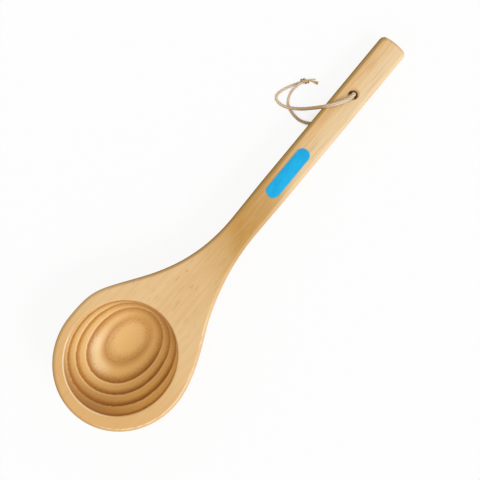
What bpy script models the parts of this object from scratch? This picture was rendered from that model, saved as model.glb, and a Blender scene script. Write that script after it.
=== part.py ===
"""A one-piece pine sauna ladle, lying on a table, with its sticker and its knotted hanging cord.

The ladle lies on a sanded flat under its bowl and on the lower edge of its handle's end. The
table is z = 0, the origin is under the bowl and +X runs along the handle. The bowl and the
handle are carved in the ladle's own frame, whose origin is the centre of the bowl in the plane
of its rim, and the whole frame is then tipped until the handle's end touches the table.
"""

import math

import bmesh
import bpy
import numpy as np
from mathutils import Matrix, Vector
from mathutils.geometry import interpolate_bezier

# Bowl, outside
BOWL_LENGTH = 0.1194
BOWL_WIDTH = 0.1133
BOWL_DEPTH = 0.050
EDGE_RADIUS = 0.0030

# Hollow, set by the walls round it
RIM_AT_ENDS = 0.0100
RIM_AT_SIDES = 0.01015
BASE_THICKNESS = 0.013
MOUTH_ASIDE = 0.0024
HOLLOW_FULLNESS = 2.35
LIP_RADIUS = 0.0014

# Handle
HANDLE_REACH = 0.3403
HANDLE_ASIDE = 0.0061
HANDLE_WIDTH = 0.0247
HANDLE_THICKNESS = 0.018
HANDLE_SLOPE = math.radians(4.0)
HANDLE_SQUARENESS = 5.0
END_CORNER_RADIUS = 0.0050
END_CROWN = 0.0007
END_EDGE_RADIUS = 0.0030

# Neck, seen from above: a shoulder on each side of the bowl, then the waist
SHOULDER_X = 0.060
LEFT_SHOULDER_Y = 0.0333
LEFT_SHOULDER_ANGLE = math.radians(-34.3)
LEFT_SHOULDER_PULLS = (0.0283, 0.0357, 0.0261, 0.0378)
RIGHT_SHOULDER_Y = 0.0377
RIGHT_SHOULDER_ANGLE = math.radians(-26.2)
RIGHT_SHOULDER_PULLS = (0.0177, 0.0272, 0.0188, 0.0354)
WAIST_X = 0.145
WAIST_WIDTH = 0.0238
WAIST_END_X = 0.190

# Neck, seen from the side: the top face lifts from the rim's plane, the underside is a fillet
LIFT_START_X = 0.075
LIFT_END_X = 0.175
LIFT = 0.0115
UNDERSIDE_LEAVES_BOWL_X = 0.040
UNDERSIDE_MEETS_HANDLE_X = 0.150
UNDERSIDE_PULLS = (0.032, 0.045)

# Flats on which the ladle lies
BOWL_FLAT_DEPTH = 0.0012
HANDLE_FLAT_DEPTH = 0.0004

# Hanging hole
HOLE_DIAMETER = 0.0082
HOLE_FROM_END = 0.0545
HOLE_CHAMFER = 0.0006

# Sticker
LABEL_LENGTH = 0.0490
LABEL_WIDTH = 0.0116
LABEL_THICKNESS = 0.0002
LABEL_FROM_END = 0.1131

# Cord, knot and cut ends
CORD_DIAMETER = 0.0028
CORD_POINT_SPACING = 1.5 * CORD_DIAMETER
TAIL_DIAMETER = 0.0021
KNOT_LENGTH = 0.0064
KNOT_DIAMETER = 0.0058
KNOT_WAIST = 0.0046
KNOT_WRAPS = 3
KNOT_TAPER = 0.14
KNOT_CENTRE = Vector((0.2653, 0.0325, 0.0033))
KNOT_HEADING = math.radians(-36.0)
STRAND_LEAN = math.radians(60.0)

# The clearance between pieces that touch
GAP = 0.0003

# How far a cutter reaches past what it cuts
CUT_BEYOND = 0.004

# How finely curved shapes are divided
CURVE_STEPS = 40
TIP_STATIONS = 13
NECK_STATION_SPACING = 0.006
HANDLE_STATION_SPACING = 0.020
END_STATIONS = 7
UNDERSIDE_SEGMENTS = 20
EDGE_SEGMENTS = 4
HOLLOW_SEGMENTS = 64
HOLLOW_RINGS = 14
LIP_SEGMENTS = 3
HOLE_SEGMENTS = 40
LABEL_END_SEGMENTS = 8
LABEL_RUNGS = 8
KNOT_SEGMENTS = 16
WRAP_RINGS = 6
SHARP_ANGLE = math.radians(35.0)

# Route of the cord's front stretch, from the middle of the hole over the handle to the knot
FRONT_ROUTE = (
    (0.28095, -0.00683, 0.01440),
    (0.28130, -0.00685, 0.01860),
    (0.28110, -0.00650, 0.02200),
    (0.27910, -0.00550, 0.02430),
    (0.27640, -0.00410, 0.02510),
    (0.26600, 0.00090, 0.02600),
    (0.26120, 0.00480, 0.02620),
    (0.25700, 0.00840, 0.02290),
    (0.25100, 0.01400, 0.01330),
    (0.24580, 0.01900, 0.00720),
    (0.24200, 0.02400, 0.00490),
    (0.23960, 0.02920, 0.00460),
    (0.23810, 0.03620, 0.00300),
    (0.23860, 0.04150, 0.00170),
    (0.24310, 0.04430, 0.00150),
    (0.24930, 0.04280, 0.00170),
    (0.25690, 0.03880, 0.00360),
)

# Route of the back stretch, from the middle of the hole under the handle to the knot
BACK_ROUTE = (
    (0.28095, -0.00683, 0.01410),
    (0.28060, -0.00683, 0.01000),
    (0.28020, -0.00680, 0.00700),
    (0.27940, -0.00680, 0.00430),
    (0.27730, -0.00680, 0.00225),
    (0.27430, -0.00690, 0.00150),
    (0.26300, -0.00720, 0.00150),
    (0.25250, -0.00540, 0.00150),
    (0.24500, -0.00030, 0.00150),
    (0.24060, 0.00700, 0.00150),
    (0.23780, 0.01370, 0.00150),
    (0.23800, 0.02330, 0.00150),
    (0.24160, 0.03060, 0.00150),
    (0.24900, 0.03500, 0.00150),
    (0.25650, 0.03560, 0.00160),
)

# Where the two cut ends lie, past the knot
UPPER_TAIL_END = (0.2727, 0.0260, 0.0028)
LOWER_TAIL_END = (0.2702, 0.0220, 0.0012)


def clear_scene():
    for item in list(bpy.data.objects):
        bpy.data.objects.remove(item, do_unlink=True)


def finish_material(name, colour, roughness, metallic=0.0):
    material = bpy.data.materials.new(name)
    material.use_nodes = True
    shader = material.node_tree.nodes["Principled BSDF"]
    shader.inputs["Base Color"].default_value = (*colour, 1.0)
    shader.inputs["Roughness"].default_value = roughness
    shader.inputs["Metallic"].default_value = metallic
    return material


def mesh_object(name, mesh, material=None, parent=None):
    item = bpy.data.objects.new(name, mesh)
    bpy.context.collection.objects.link(item)
    item.parent = parent
    if material:
        mesh.materials.append(material)
        mesh.shade_smooth()
        mesh.set_sharp_from_angle(angle=SHARP_ANGLE)
    else:
        item.hide_render = True
        item.display_type = "WIRE"
    return item


def finished_mesh(name, bm):
    bmesh.ops.remove_doubles(bm, verts=bm.verts, dist=1e-6)
    bmesh.ops.recalc_face_normals(bm, faces=bm.faces)
    mesh = bpy.data.meshes.new(name)
    bm.to_mesh(mesh)
    bm.free()
    return mesh


def curve_through(*knots):
    """(x, y) arrays along Bezier pieces. A knot is (point, angle, pull before it, pull after it)."""
    points = []
    for (start, angle, _, pull), (end, end_angle, end_pull, _) in zip(knots, knots[1:]):
        first = Vector(start)
        last = Vector(end)
        leave = first + pull * Vector((math.cos(angle), math.sin(angle)))
        arrive = last - end_pull * Vector((math.cos(end_angle), math.sin(end_angle)))
        points += interpolate_bezier(first, leave, arrive, last, CURVE_STEPS)[bool(points):]
    return np.array([p[0] for p in points]), np.array([p[1] for p in points])


def smooth_step(x, start, end):
    share = min(max((x - start) / (end - start), 0.0), 1.0)
    return share * share * (3.0 - 2.0 * share)


# The ladle's outline and profiles, all in the ladle's own frame

def shoulder_curve(shoulder_y, angle, pulls, waist_y):
    widest = ((0.0, BOWL_WIDTH / 2), 0.0, 0.0, pulls[0])
    shoulder = ((SHOULDER_X, shoulder_y), angle, pulls[1], pulls[2])
    waist = ((WAIST_X, waist_y), 0.0, pulls[3], 0.0)
    return curve_through(widest, shoulder, waist)


LEFT_CURVE = shoulder_curve(
    LEFT_SHOULDER_Y, LEFT_SHOULDER_ANGLE, LEFT_SHOULDER_PULLS, WAIST_WIDTH / 2 - HANDLE_ASIDE
)
RIGHT_CURVE = shoulder_curve(
    RIGHT_SHOULDER_Y, RIGHT_SHOULDER_ANGLE, RIGHT_SHOULDER_PULLS, WAIST_WIDTH / 2 + HANDLE_ASIDE
)


def end_half_width(inset):
    """The handle's half width at this distance before its end, where its corners are round."""
    corner_start = END_CORNER_RADIUS + END_CROWN
    if inset >= corner_start:
        return HANDLE_WIDTH / 2
    straight = HANDLE_WIDTH / 2 - END_CORNER_RADIUS
    if inset <= END_CROWN:
        return straight * math.sqrt(max(inset, 0.0) / END_CROWN)
    drop = corner_start - inset
    return straight + math.sqrt(max(END_CORNER_RADIUS**2 - drop**2, 0.0))


def handle_half_width(x):
    full = end_half_width(HANDLE_REACH - x)
    widening = smooth_step(x, WAIST_X, WAIST_END_X)
    return full - (1.0 - widening) * (HANDLE_WIDTH - WAIST_WIDTH) / 2


def side_y(x, side):
    """The outline's y at x, on the left (side 1) or the right (side -1)."""
    if x <= 0.0:
        round_share = 1.0 - (2.0 * x / BOWL_LENGTH) ** 2
        return side * BOWL_WIDTH / 2 * math.sqrt(max(round_share, 0.0))
    if x <= WAIST_X:
        curve = LEFT_CURVE if side > 0 else RIGHT_CURVE
        return side * float(np.interp(x, *curve))
    return side * handle_half_width(x) - HANDLE_ASIDE


def top_z(x):
    """Height of the top face: flat on the rim, lifting through the neck, then a straight slope."""
    if x <= LIFT_START_X:
        return 0.0
    slope = math.tan(HANDLE_SLOPE)
    if x >= LIFT_END_X:
        return LIFT + (x - LIFT_END_X) * slope
    span = LIFT_END_X - LIFT_START_X
    share = (x - LIFT_START_X) / span
    return LIFT * share**2 * (3.0 - 2.0 * share) + span * slope * (share**3 - share**2)


def bowl_underside_z(x):
    share = max(1.0 - (2.0 * x / BOWL_LENGTH) ** 2, 0.0)
    return -EDGE_RADIUS - (BOWL_DEPTH - EDGE_RADIUS) * math.sqrt(share)


def top_angle(x, step=1e-4):
    return math.atan2(top_z(x + step) - top_z(x - step), 2.0 * step)


def underside_angle(x, step=1e-4):
    rise = bowl_underside_z(x + step) - bowl_underside_z(x - step)
    return math.atan2(rise, 2.0 * step)


UNDERSIDE_CURVE = curve_through(
    (
        (UNDERSIDE_LEAVES_BOWL_X, bowl_underside_z(UNDERSIDE_LEAVES_BOWL_X)),
        underside_angle(UNDERSIDE_LEAVES_BOWL_X),
        0.0,
        UNDERSIDE_PULLS[0],
    ),
    (
        (UNDERSIDE_MEETS_HANDLE_X, top_z(UNDERSIDE_MEETS_HANDLE_X) - HANDLE_THICKNESS),
        top_angle(UNDERSIDE_MEETS_HANDLE_X),
        UNDERSIDE_PULLS[1],
        0.0,
    ),
)


def underside_z(x):
    """Height of the lowest line under the ladle."""
    if x <= UNDERSIDE_LEAVES_BOWL_X:
        return bowl_underside_z(x)
    if x <= UNDERSIDE_MEETS_HANDLE_X:
        return float(np.interp(x, *UNDERSIDE_CURVE))
    inset = HANDLE_REACH - x
    rounding = 0.0
    if inset < END_EDGE_RADIUS:
        rounding = END_EDGE_RADIUS - math.sqrt(
            max(END_EDGE_RADIUS**2 - (END_EDGE_RADIUS - inset) ** 2, 0.0)
        )
    return top_z(x) - HANDLE_THICKNESS + rounding


def stations():
    """Places along the ladle, from the tip of the bowl to the handle's end."""
    half = BOWL_LENGTH / 2
    places = [-half * math.cos(math.pi / 2 * i / TIP_STATIONS) for i in range(TIP_STATIONS)]
    neck_count = math.ceil(WAIST_END_X / NECK_STATION_SPACING)
    places += list(np.linspace(0.0, WAIST_END_X, neck_count, endpoint=False))
    round_start = HANDLE_REACH - END_CORNER_RADIUS - END_CROWN
    handle_count = math.ceil((round_start - WAIST_END_X) / HANDLE_STATION_SPACING)
    places += list(np.linspace(WAIST_END_X, round_start, handle_count, endpoint=False))
    for i in range(END_STATIONS + 1):
        turn = math.pi / 2 * i / END_STATIONS
        places.append(round_start + (HANDLE_REACH - round_start) * math.sin(turn))
    return places


def outline(places):
    """The closed outline, as a loop: tip, left side, middle of the handle's end, right side."""
    left = [(x, side_y(x, 1)) for x in places]
    right = [(x, side_y(x, -1)) for x in places]
    return left + right[-2:0:-1]


def inward_normals(loop):
    normals = []
    for before, after in zip(loop[-1:] + loop[:-1], loop[1:] + loop[:1]):
        along = Vector(after) - Vector(before)
        normals.append(Vector((along.y, -along.x)).normalized())
    return normals


def ladle_mesh():
    """The ladle before its hollow, hole and flats are cut."""
    places = stations()
    last = len(places) - 1
    loop = outline(places)
    normals = inward_normals(loop)
    bm = bmesh.new()

    # Rounded top edge, as rings that rise and draw in from the side
    rings = []
    for step in range(EDGE_SEGMENTS + 1):
        turn = math.pi / 2 * step / EDGE_SEGMENTS
        inset = EDGE_RADIUS * (1.0 - math.cos(turn))
        drop = EDGE_RADIUS * (1.0 - math.sin(turn))
        ring = []
        for point, normal in zip(loop, normals):
            at = Vector(point) + inset * normal
            ring.append(bm.verts.new((at.x, at.y, top_z(at.x) - drop)))
        rings.append(ring)
    count = len(loop)
    for low, high in zip(rings, rings[1:]):
        for i in range(count):
            j = (i + 1) % count
            bm.faces.new((low[i], low[j], high[j], high[i]))

    # Top face, as rungs across the ladle
    top = rings[-1]
    right_of = [(count - i) % count for i in range(last + 1)]
    right_of[last] = last
    for i in range(last):
        rung = (top[i], top[i + 1], top[right_of[i + 1]], top[right_of[i]])
        bm.faces.new(tuple(dict.fromkeys(rung)))

    # Underside, as curves from the left side to the right
    sides = rings[0]
    curves = []
    for i, x in enumerate(places):
        left = sides[i].co
        right = sides[right_of[i]].co
        middle = (left + right) / 2
        half = (left.y - right.y) / 2
        depth = max(left.z - underside_z(x), 0.0)
        power = 2.0 / (
            2.0 + (HANDLE_SQUARENESS - 2.0) * smooth_step(x, SHOULDER_X, WAIST_X)
        )
        curve = [sides[i]]
        for k in range(1, UNDERSIDE_SEGMENTS):
            turn = math.pi * k / UNDERSIDE_SEGMENTS
            across = math.copysign(abs(math.cos(turn)) ** power, math.cos(turn))
            down = math.sin(turn) ** power
            curve.append(
                bm.verts.new((middle.x, middle.y + half * across, middle.z - depth * down))
            )
        curve.append(sides[right_of[i]])
        curves.append(curve)
    for first, second in zip(curves, curves[1:]):
        for k in range(UNDERSIDE_SEGMENTS):
            patch = (first[k], first[k + 1], second[k + 1], second[k])
            corners = tuple(dict.fromkeys(patch))
            if len(corners) > 2:
                bm.faces.new(corners)
    bmesh.ops.remove_doubles(bm, verts=bm.verts, dist=1e-6)
    bmesh.ops.dissolve_degenerate(bm, edges=bm.edges, dist=1e-6)
    return finished_mesh("ladle_body", bm)


# Cutters

def turned_mesh(name, profile, segments, length_share=1.0, width_share=1.0):
    """A solid turned about Z from (radius, z) points, bottom to top, both ends on the axis."""
    bm = bmesh.new()
    rings = []
    for radius, z in profile:
        if radius == 0.0:
            rings.append([bm.verts.new((0.0, 0.0, z))] * segments)
            continue
        ring = []
        for i in range(segments):
            turn = 2.0 * math.pi * i / segments
            at = (radius * length_share * math.cos(turn), radius * width_share * math.sin(turn), z)
            ring.append(bm.verts.new(at))
        rings.append(ring)
    for low, high in zip(rings, rings[1:]):
        for i in range(segments):
            j = (i + 1) % segments
            corners = tuple(dict.fromkeys((low[i], low[j], high[j], high[i])))
            bm.faces.new(corners)
    return finished_mesh(name, bm)


def hollow_cutter(frame):
    """The hollow's inside, with a flare at the mouth that leaves a rounded lip."""
    half_length = BOWL_LENGTH / 2 - RIM_AT_ENDS
    half_width = BOWL_WIDTH / 2 - RIM_AT_SIDES
    wall_depth = BOWL_DEPTH - BASE_THICKNESS - LIP_RADIUS
    lip_share = LIP_RADIUS / half_length
    wall_share = 1.0 - lip_share
    profile = [(0.0, -LIP_RADIUS - wall_depth)]
    for i in range(1, HOLLOW_RINGS + 1):
        turn = math.pi / 2 * i / HOLLOW_RINGS
        out = math.sin(turn) ** (2.0 / HOLLOW_FULLNESS)
        down = math.cos(turn) ** (2.0 / HOLLOW_FULLNESS)
        profile.append((wall_share * out, -LIP_RADIUS - wall_depth * down))
    for i in range(1, LIP_SEGMENTS + 1):
        turn = math.pi / 2 * i / LIP_SEGMENTS
        out = wall_share + lip_share * (1.0 - math.cos(turn))
        profile.append((out, -LIP_RADIUS * (1.0 - math.sin(turn))))
    profile.append((1.0, CUT_BEYOND))
    profile.append((0.0, CUT_BEYOND))
    mesh = turned_mesh("hollow_cutter", profile, HOLLOW_SEGMENTS, half_length, half_width)
    cutter = mesh_object("hollow_cutter", mesh, parent=frame)
    cutter.location = (0.0, MOUTH_ASIDE, 0.0)
    return cutter


def hole_place():
    """The top mouth of the hanging hole, and the tilt of the handle there."""
    x = HANDLE_REACH - HOLE_FROM_END
    return Vector((x, -HANDLE_ASIDE, top_z(x))), top_angle(x)


def hole_cutter(frame):
    """A drill that also breaks the edge of both mouths."""
    radius = HOLE_DIAMETER / 2
    wide = radius + HOLE_CHAMFER + CUT_BEYOND
    profile = [
        (0.0, -HANDLE_THICKNESS - CUT_BEYOND),
        (wide, -HANDLE_THICKNESS - CUT_BEYOND),
        (radius, -HANDLE_THICKNESS + HOLE_CHAMFER),
        (radius, -HOLE_CHAMFER),
        (wide, CUT_BEYOND),
        (0.0, CUT_BEYOND),
    ]
    mesh = turned_mesh("hole_cutter", profile, HOLE_SEGMENTS)
    cutter = mesh_object("hole_cutter", mesh, parent=frame)
    mouth, tilt = hole_place()
    cutter.location = mouth
    cutter.rotation_euler = (0.0, -tilt, 0.0)
    return cutter


def table_cutter():
    """Everything below the table, which leaves the sanded flats."""
    bm = bmesh.new()
    bmesh.ops.create_cube(bm, size=1.0)
    bmesh.ops.translate(bm, verts=bm.verts, vec=(0.0, 0.0, -0.5))
    return mesh_object("table_cutter", finished_mesh("table_cutter", bm))


def cut(item, cutter):
    modifier = item.modifiers.new(cutter.name, "BOOLEAN")
    modifier.object = cutter
    modifier.operation = "DIFFERENCE"
    modifier.solver = "EXACT"


# How the ladle lies on the table

def bowl_drop(tilt):
    """How far the bowl's underside reaches down, with the handle's end tipped down by tilt."""
    length_part = BOWL_LENGTH / 2 * math.sin(tilt)
    depth_part = (BOWL_DEPTH - EDGE_RADIUS) * math.cos(tilt)
    return EDGE_RADIUS * math.cos(tilt) + math.hypot(length_part, depth_part)


def handle_drop(tilt):
    """How far the lower edge of the handle's end reaches down, at that tilt."""
    x = HANDLE_REACH - END_EDGE_RADIUS
    z = top_z(x) - HANDLE_THICKNESS + END_EDGE_RADIUS
    return x * math.sin(tilt) - z * math.cos(tilt) + END_EDGE_RADIUS


def resting_tilt():
    """The tilt at which the bowl's flat and the handle's end both lie on the table."""
    low = 0.0
    high = math.radians(30.0)
    for _ in range(50):
        tilt = (low + high) / 2
        if handle_drop(tilt) - HANDLE_FLAT_DEPTH < bowl_drop(tilt) - BOWL_FLAT_DEPTH:
            low = tilt
        else:
            high = tilt
    return tilt


def resting_frame():
    """An empty that holds the ladle's own frame, tipped onto the table."""
    tilt = resting_tilt()
    length_part = (BOWL_LENGTH / 2) ** 2 * math.sin(tilt)
    depth_part = (BOWL_DEPTH - EDGE_RADIUS) ** 2 * math.cos(tilt)
    drop = bowl_drop(tilt) - EDGE_RADIUS * math.cos(tilt)
    lowest = Vector((length_part / drop, 0.0, -depth_part / drop - EDGE_RADIUS))
    frame = bpy.data.objects.new("ladle_frame", None)
    bpy.context.collection.objects.link(frame)
    frame.rotation_euler = (0.0, tilt, 0.0)
    turned = Matrix.Rotation(tilt, 3, "Y") @ lowest
    frame.location = (-turned.x, 0.0, bowl_drop(tilt) - BOWL_FLAT_DEPTH)
    bpy.context.view_layer.update()
    return frame


def make_ladle(frame):
    pine = finish_material("pine", (0.78, 0.55, 0.30), 0.55)
    body = mesh_object("ladle_body", ladle_mesh(), pine, frame)
    cut(body, hollow_cutter(frame))
    cut(body, hole_cutter(frame))
    cut(body, table_cutter())
    return body


def label_half_width(along):
    """Half the sticker's width at this distance from its middle, with round ends."""
    radius = LABEL_WIDTH / 2
    past = abs(along) - (LABEL_LENGTH / 2 - radius)
    return radius if past <= 0.0 else math.sqrt(max(radius**2 - past**2, 0.0))


def label_places():
    """Distances along the sticker from its middle, closer together in its round ends."""
    radius = LABEL_WIDTH / 2
    straight = LABEL_LENGTH / 2 - radius
    turns = [math.pi / 2 * i / LABEL_END_SEGMENTS for i in range(LABEL_END_SEGMENTS)]
    start = [-straight - radius * math.cos(turn) for turn in turns]
    middle = list(np.linspace(-straight, straight, LABEL_RUNGS + 1))
    return start + middle + [-place for place in reversed(start)]


def make_label(frame):
    """A sticker with round ends, laid along the handle's top face."""
    middle = HANDLE_REACH - LABEL_FROM_END - LABEL_LENGTH / 2
    bm = bmesh.new()
    layers = []
    for height in (GAP, GAP + LABEL_THICKNESS):
        rungs = []
        for along in label_places():
            x = middle + along
            tilt = top_angle(x)
            place = Vector((x, -HANDLE_ASIDE, top_z(x)))
            place += height * Vector((-math.sin(tilt), 0.0, math.cos(tilt)))
            half = label_half_width(along)
            rung = [bm.verts.new(place + Vector((0.0, half, 0.0)))]
            if half > 0.0:
                rung.append(bm.verts.new(place - Vector((0.0, half, 0.0))))
            rungs.append(rung)
        layers.append(rungs)
        for first, second in zip(rungs, rungs[1:]):
            bm.faces.new(first + second[::-1])
    edges = [[r[0] for r in rungs] + [r[-1] for r in rungs[-2:0:-1]] for rungs in layers]
    low, high = edges
    for i in range(len(low)):
        j = (i + 1) % len(low)
        bm.faces.new((low[i], low[j], high[j], high[i]))
    blue = finish_material("label_film", (0.02, 0.42, 0.83), 0.35)
    return mesh_object("label", finished_mesh("label", bm), blue, frame)


# The cord

def smooth_points(route, spacing):
    """Evenly spaced points on a smooth curve through the route, whose last run stays straight."""
    route = [Vector(point) for point in route]
    tangents = []
    for i, point in enumerate(route):
        before = route[max(i - 1, 0)]
        after = route[min(i + 1, len(route) - 1)]
        tangents.append((after - before).normalized())
    fine = [route[0]]
    for i in range(len(route) - 2):
        third = (route[i + 1] - route[i]).length / 3.0
        leave = route[i] + tangents[i] * third
        arrive = route[i + 1] - tangents[i + 1] * third
        fine += interpolate_bezier(route[i], leave, arrive, route[i + 1], CURVE_STEPS)[1:]
    steps = [0.0]
    for a, b in zip(fine, fine[1:]):
        steps.append(steps[-1] + (b - a).length)
    count = max(round(steps[-1] / spacing), 1)
    wanted = np.linspace(0.0, steps[-1], count + 1)
    columns = [np.interp(wanted, steps, [point[axis] for point in fine]) for axis in range(3)]
    return [Vector(point) for point in zip(*columns)] + route[-1:]


def tube(name, points, diameter, material, parent):
    data = bpy.data.curves.new(name, "CURVE")
    data.dimensions = "3D"
    data.bevel_depth = diameter / 2
    data.bevel_resolution = 2
    data.use_fill_caps = True
    spline = data.splines.new("POLY")
    spline.points.add(len(points) - 1)
    place = parent.matrix_world.inverted()
    for slot, point in zip(spline.points, points):
        slot.co = (*(place @ point), 1.0)
    data.materials.append(material)
    item = bpy.data.objects.new(name, data)
    bpy.context.collection.objects.link(item)
    item.parent = parent
    return item


def knot_direction():
    return Vector((math.cos(KNOT_HEADING), math.sin(KNOT_HEADING), 0.0))


def knot_side(sign):
    """The middle of the knot's end face towards the loop (-1) or towards the cut ends (1)."""
    return KNOT_CENTRE + sign * knot_direction() * (KNOT_LENGTH / 2 + GAP)


def strand_at_knot(sign, share, diameter):
    """Two points that bring one strand of a pair square to the knot's end face."""
    across = Vector((-knot_direction().y, knot_direction().x, 0.0))
    lean = math.cos(STRAND_LEAN) * across + math.sin(STRAND_LEAN) * Vector((0.0, 0.0, 1.0))
    seat = knot_side(sign) + share * lean * (diameter / 2 + GAP)
    before = seat + sign * knot_direction() * diameter
    return before, seat


def make_knot(material, parent):
    """The tied knot as a turned body, with a hump for each wrap of the cord."""
    profile = [(0.0, -KNOT_LENGTH / 2)]
    count = WRAP_RINGS * KNOT_WRAPS
    for i in range(count + 1):
        share = i / count
        hump = abs(math.sin(math.pi * KNOT_WRAPS * share))
        crown = 1.0 - KNOT_TAPER * (1.0 - math.sin(math.pi * share))
        radius = (KNOT_WAIST + (KNOT_DIAMETER - KNOT_WAIST) * hump) / 2 * crown
        profile.append((radius, KNOT_LENGTH * (share - 0.5)))
    profile.append((0.0, KNOT_LENGTH / 2))
    mesh = turned_mesh("cord_knot", profile, KNOT_SEGMENTS)
    knot = mesh_object("cord_knot", mesh, material, parent)
    turn = knot_direction().to_track_quat("Z", "Y").to_matrix().to_4x4()
    knot.matrix_world = Matrix.Translation(KNOT_CENTRE) @ turn
    return knot


def loop_hinge(frame):
    """An upright axis through the middle of the hanging hole."""
    mouth, tilt = hole_place()
    down = Vector((math.sin(tilt), 0.0, -math.cos(tilt))) * HANDLE_THICKNESS / 2
    hinge = bpy.data.objects.new("loop_hinge", None)
    bpy.context.collection.objects.link(hinge)
    hinge.location = frame.matrix_world @ (mouth + down)
    bpy.context.view_layer.update()
    return hinge


def make_cord(hinge):
    """The cord's stretches, knot and cut ends, which swing together about the hanging hole."""
    cord = finish_material("waxed_cord", (0.58, 0.42, 0.27), 0.75)
    ends = finish_material("cord_ends", (0.60, 0.40, 0.22), 0.8)
    knotted = finish_material("cord_knotted", (0.55, 0.38, 0.23), 0.75)
    make_knot(knotted, hinge)
    strands = (
        ("cord_front", FRONT_ROUTE, -1, 1, CORD_DIAMETER, cord),
        ("cord_back", BACK_ROUTE, -1, -1, CORD_DIAMETER, cord),
        ("cord_tail_upper", (UPPER_TAIL_END,), 1, 1, TAIL_DIAMETER, ends),
        ("cord_tail_lower", (LOWER_TAIL_END,), 1, -1, TAIL_DIAMETER, ends),
    )
    for name, route, sign, share, diameter, material in strands:
        whole = [*route, *strand_at_knot(sign, share, diameter)]
        tube(name, smooth_points(whole, CORD_POINT_SPACING), diameter, material, hinge)


def main():
    clear_scene()
    frame = resting_frame()
    make_ladle(frame)
    make_label(frame)
    make_cord(loop_hinge(frame))


main()
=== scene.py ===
"""The looks of the pine sauna ladle: brushed pine, a laid cord with its knot, and a plain sticker.

The ladle is shaped in its own frame, as in the part's source: the origin is the centre of the
bowl in the plane of its rim and +X runs along the handle. The finished mesh is then tipped onto
the table, which is z = 0. Lengths are in metres.
"""

import math

import bmesh
import bpy
import numpy as np
from mathutils import Matrix, Vector
from mathutils.geometry import delaunay_2d_cdt, interpolate_bezier
from mathutils.kdtree import KDTree


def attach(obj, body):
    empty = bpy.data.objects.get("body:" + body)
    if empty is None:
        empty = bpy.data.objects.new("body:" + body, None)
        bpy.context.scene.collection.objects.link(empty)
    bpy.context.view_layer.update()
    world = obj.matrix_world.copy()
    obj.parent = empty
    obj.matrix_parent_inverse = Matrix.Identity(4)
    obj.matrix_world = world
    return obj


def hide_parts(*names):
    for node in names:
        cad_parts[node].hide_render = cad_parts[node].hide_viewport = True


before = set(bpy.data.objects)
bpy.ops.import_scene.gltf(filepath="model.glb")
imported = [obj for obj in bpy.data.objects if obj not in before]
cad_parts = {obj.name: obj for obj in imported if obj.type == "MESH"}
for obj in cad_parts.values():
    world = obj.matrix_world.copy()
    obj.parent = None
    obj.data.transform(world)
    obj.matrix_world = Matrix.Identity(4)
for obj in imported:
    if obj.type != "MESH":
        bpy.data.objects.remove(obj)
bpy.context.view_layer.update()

# Camera, as the photograph has it
PHOTO_SIDE = 480
FOCAL_PIXELS = 1222.8
CAMERA_PLACE = (0.2324, -0.0108, 1.0283)
CAMERA_LEAN = math.radians(5.8)
CAMERA_TURN = math.radians(-50.29)
SENSOR_WIDTH = 36.0

# Light
KEY_HEADING = (0.10, -1.0, 1.05)
KEY_STRENGTH = 1.30
KEY_SOFTNESS = math.radians(28)
SKY_STRENGTH = 0.68

# White floor. Its own white is gone where the ladle leaves the first share of open air within a
# short reach, and whole from the second share.
FLOOR_SIDE = 6.0
FLOOR_WHITE = (0.9, 0.9, 0.9, 1.0)
FLOOR_GLOW = 0.90
FLOOR_SHADE_REACH = 0.03
FLOOR_OPEN_SHARES = (0.14, 0.46)

# How the ladle's own frame lies on the table
RESTING_TILT = 0.16162650
RESTING_PLACE = (-0.00406052, 0.0, 0.04913275)

# Bowl and hollow. A fullness or a squareness is the power of a superellipse, where 2 is round and
# more is squarer.
BOWL_LENGTH = 0.1194
BOWL_WIDTH = 0.1133
BOWL_DEPTH = 0.050
EDGE_RADIUS = 0.0030
EDGE_FULLNESS = 1.5
RIM_AT_ENDS = 0.0100
RIM_AT_SIDES = 0.01015
BASE_THICKNESS = 0.013
MOUTH_HALF_LENGTH = BOWL_LENGTH / 2 - RIM_AT_ENDS
MOUTH_HALF_WIDTH = BOWL_WIDTH / 2 - RIM_AT_SIDES
MOUTH_ASIDE = 0.0024
HOLLOW_FULLNESS = 2.35
LIP_RADIUS = 0.0014

# Handle
HANDLE_REACH = 0.3403
HANDLE_ASIDE = 0.0061
HANDLE_WIDTH = 0.0247
HANDLE_THICKNESS = 0.018
HANDLE_SLOPE = math.radians(4.0)
HANDLE_SQUARENESS = 5.0
END_CORNER_RADIUS = 0.0050
END_CROWN = 0.0007
END_EDGE_RADIUS = 0.0030

# Neck. Its outline and underside are Bezier curves. A pull is how far a curve keeps to the
# direction of its knot.
SHOULDER_X = 0.060
LEFT_SHOULDER_Y = 0.0333
LEFT_SHOULDER_ANGLE = math.radians(-34.3)
LEFT_SHOULDER_PULLS = (0.0283, 0.0357, 0.0261, 0.0378)
RIGHT_SHOULDER_Y = 0.0377
RIGHT_SHOULDER_ANGLE = math.radians(-26.2)
RIGHT_SHOULDER_PULLS = (0.0177, 0.0272, 0.0188, 0.0354)
WAIST_X = 0.145
WAIST_WIDTH = 0.0238
WAIST_END_X = 0.190
LIFT_START_X = 0.075
LIFT_END_X = 0.175
LIFT = 0.0115
UNDERSIDE_LEAVES_BOWL_X = 0.040
UNDERSIDE_MEETS_HANDLE_X = 0.150
UNDERSIDE_PULLS = (0.032, 0.045)

# Hanging hole, whose lower mouth is narrower by twice its taper. The drill reaches beyond the wood.
HOLE_DIAMETER = 0.0082
HOLE_FROM_END = 0.0545
HOLE_CHAMFER = 0.0006
HOLE_TAPER = 0.0011
DRILL_BEYOND = 0.004

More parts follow.
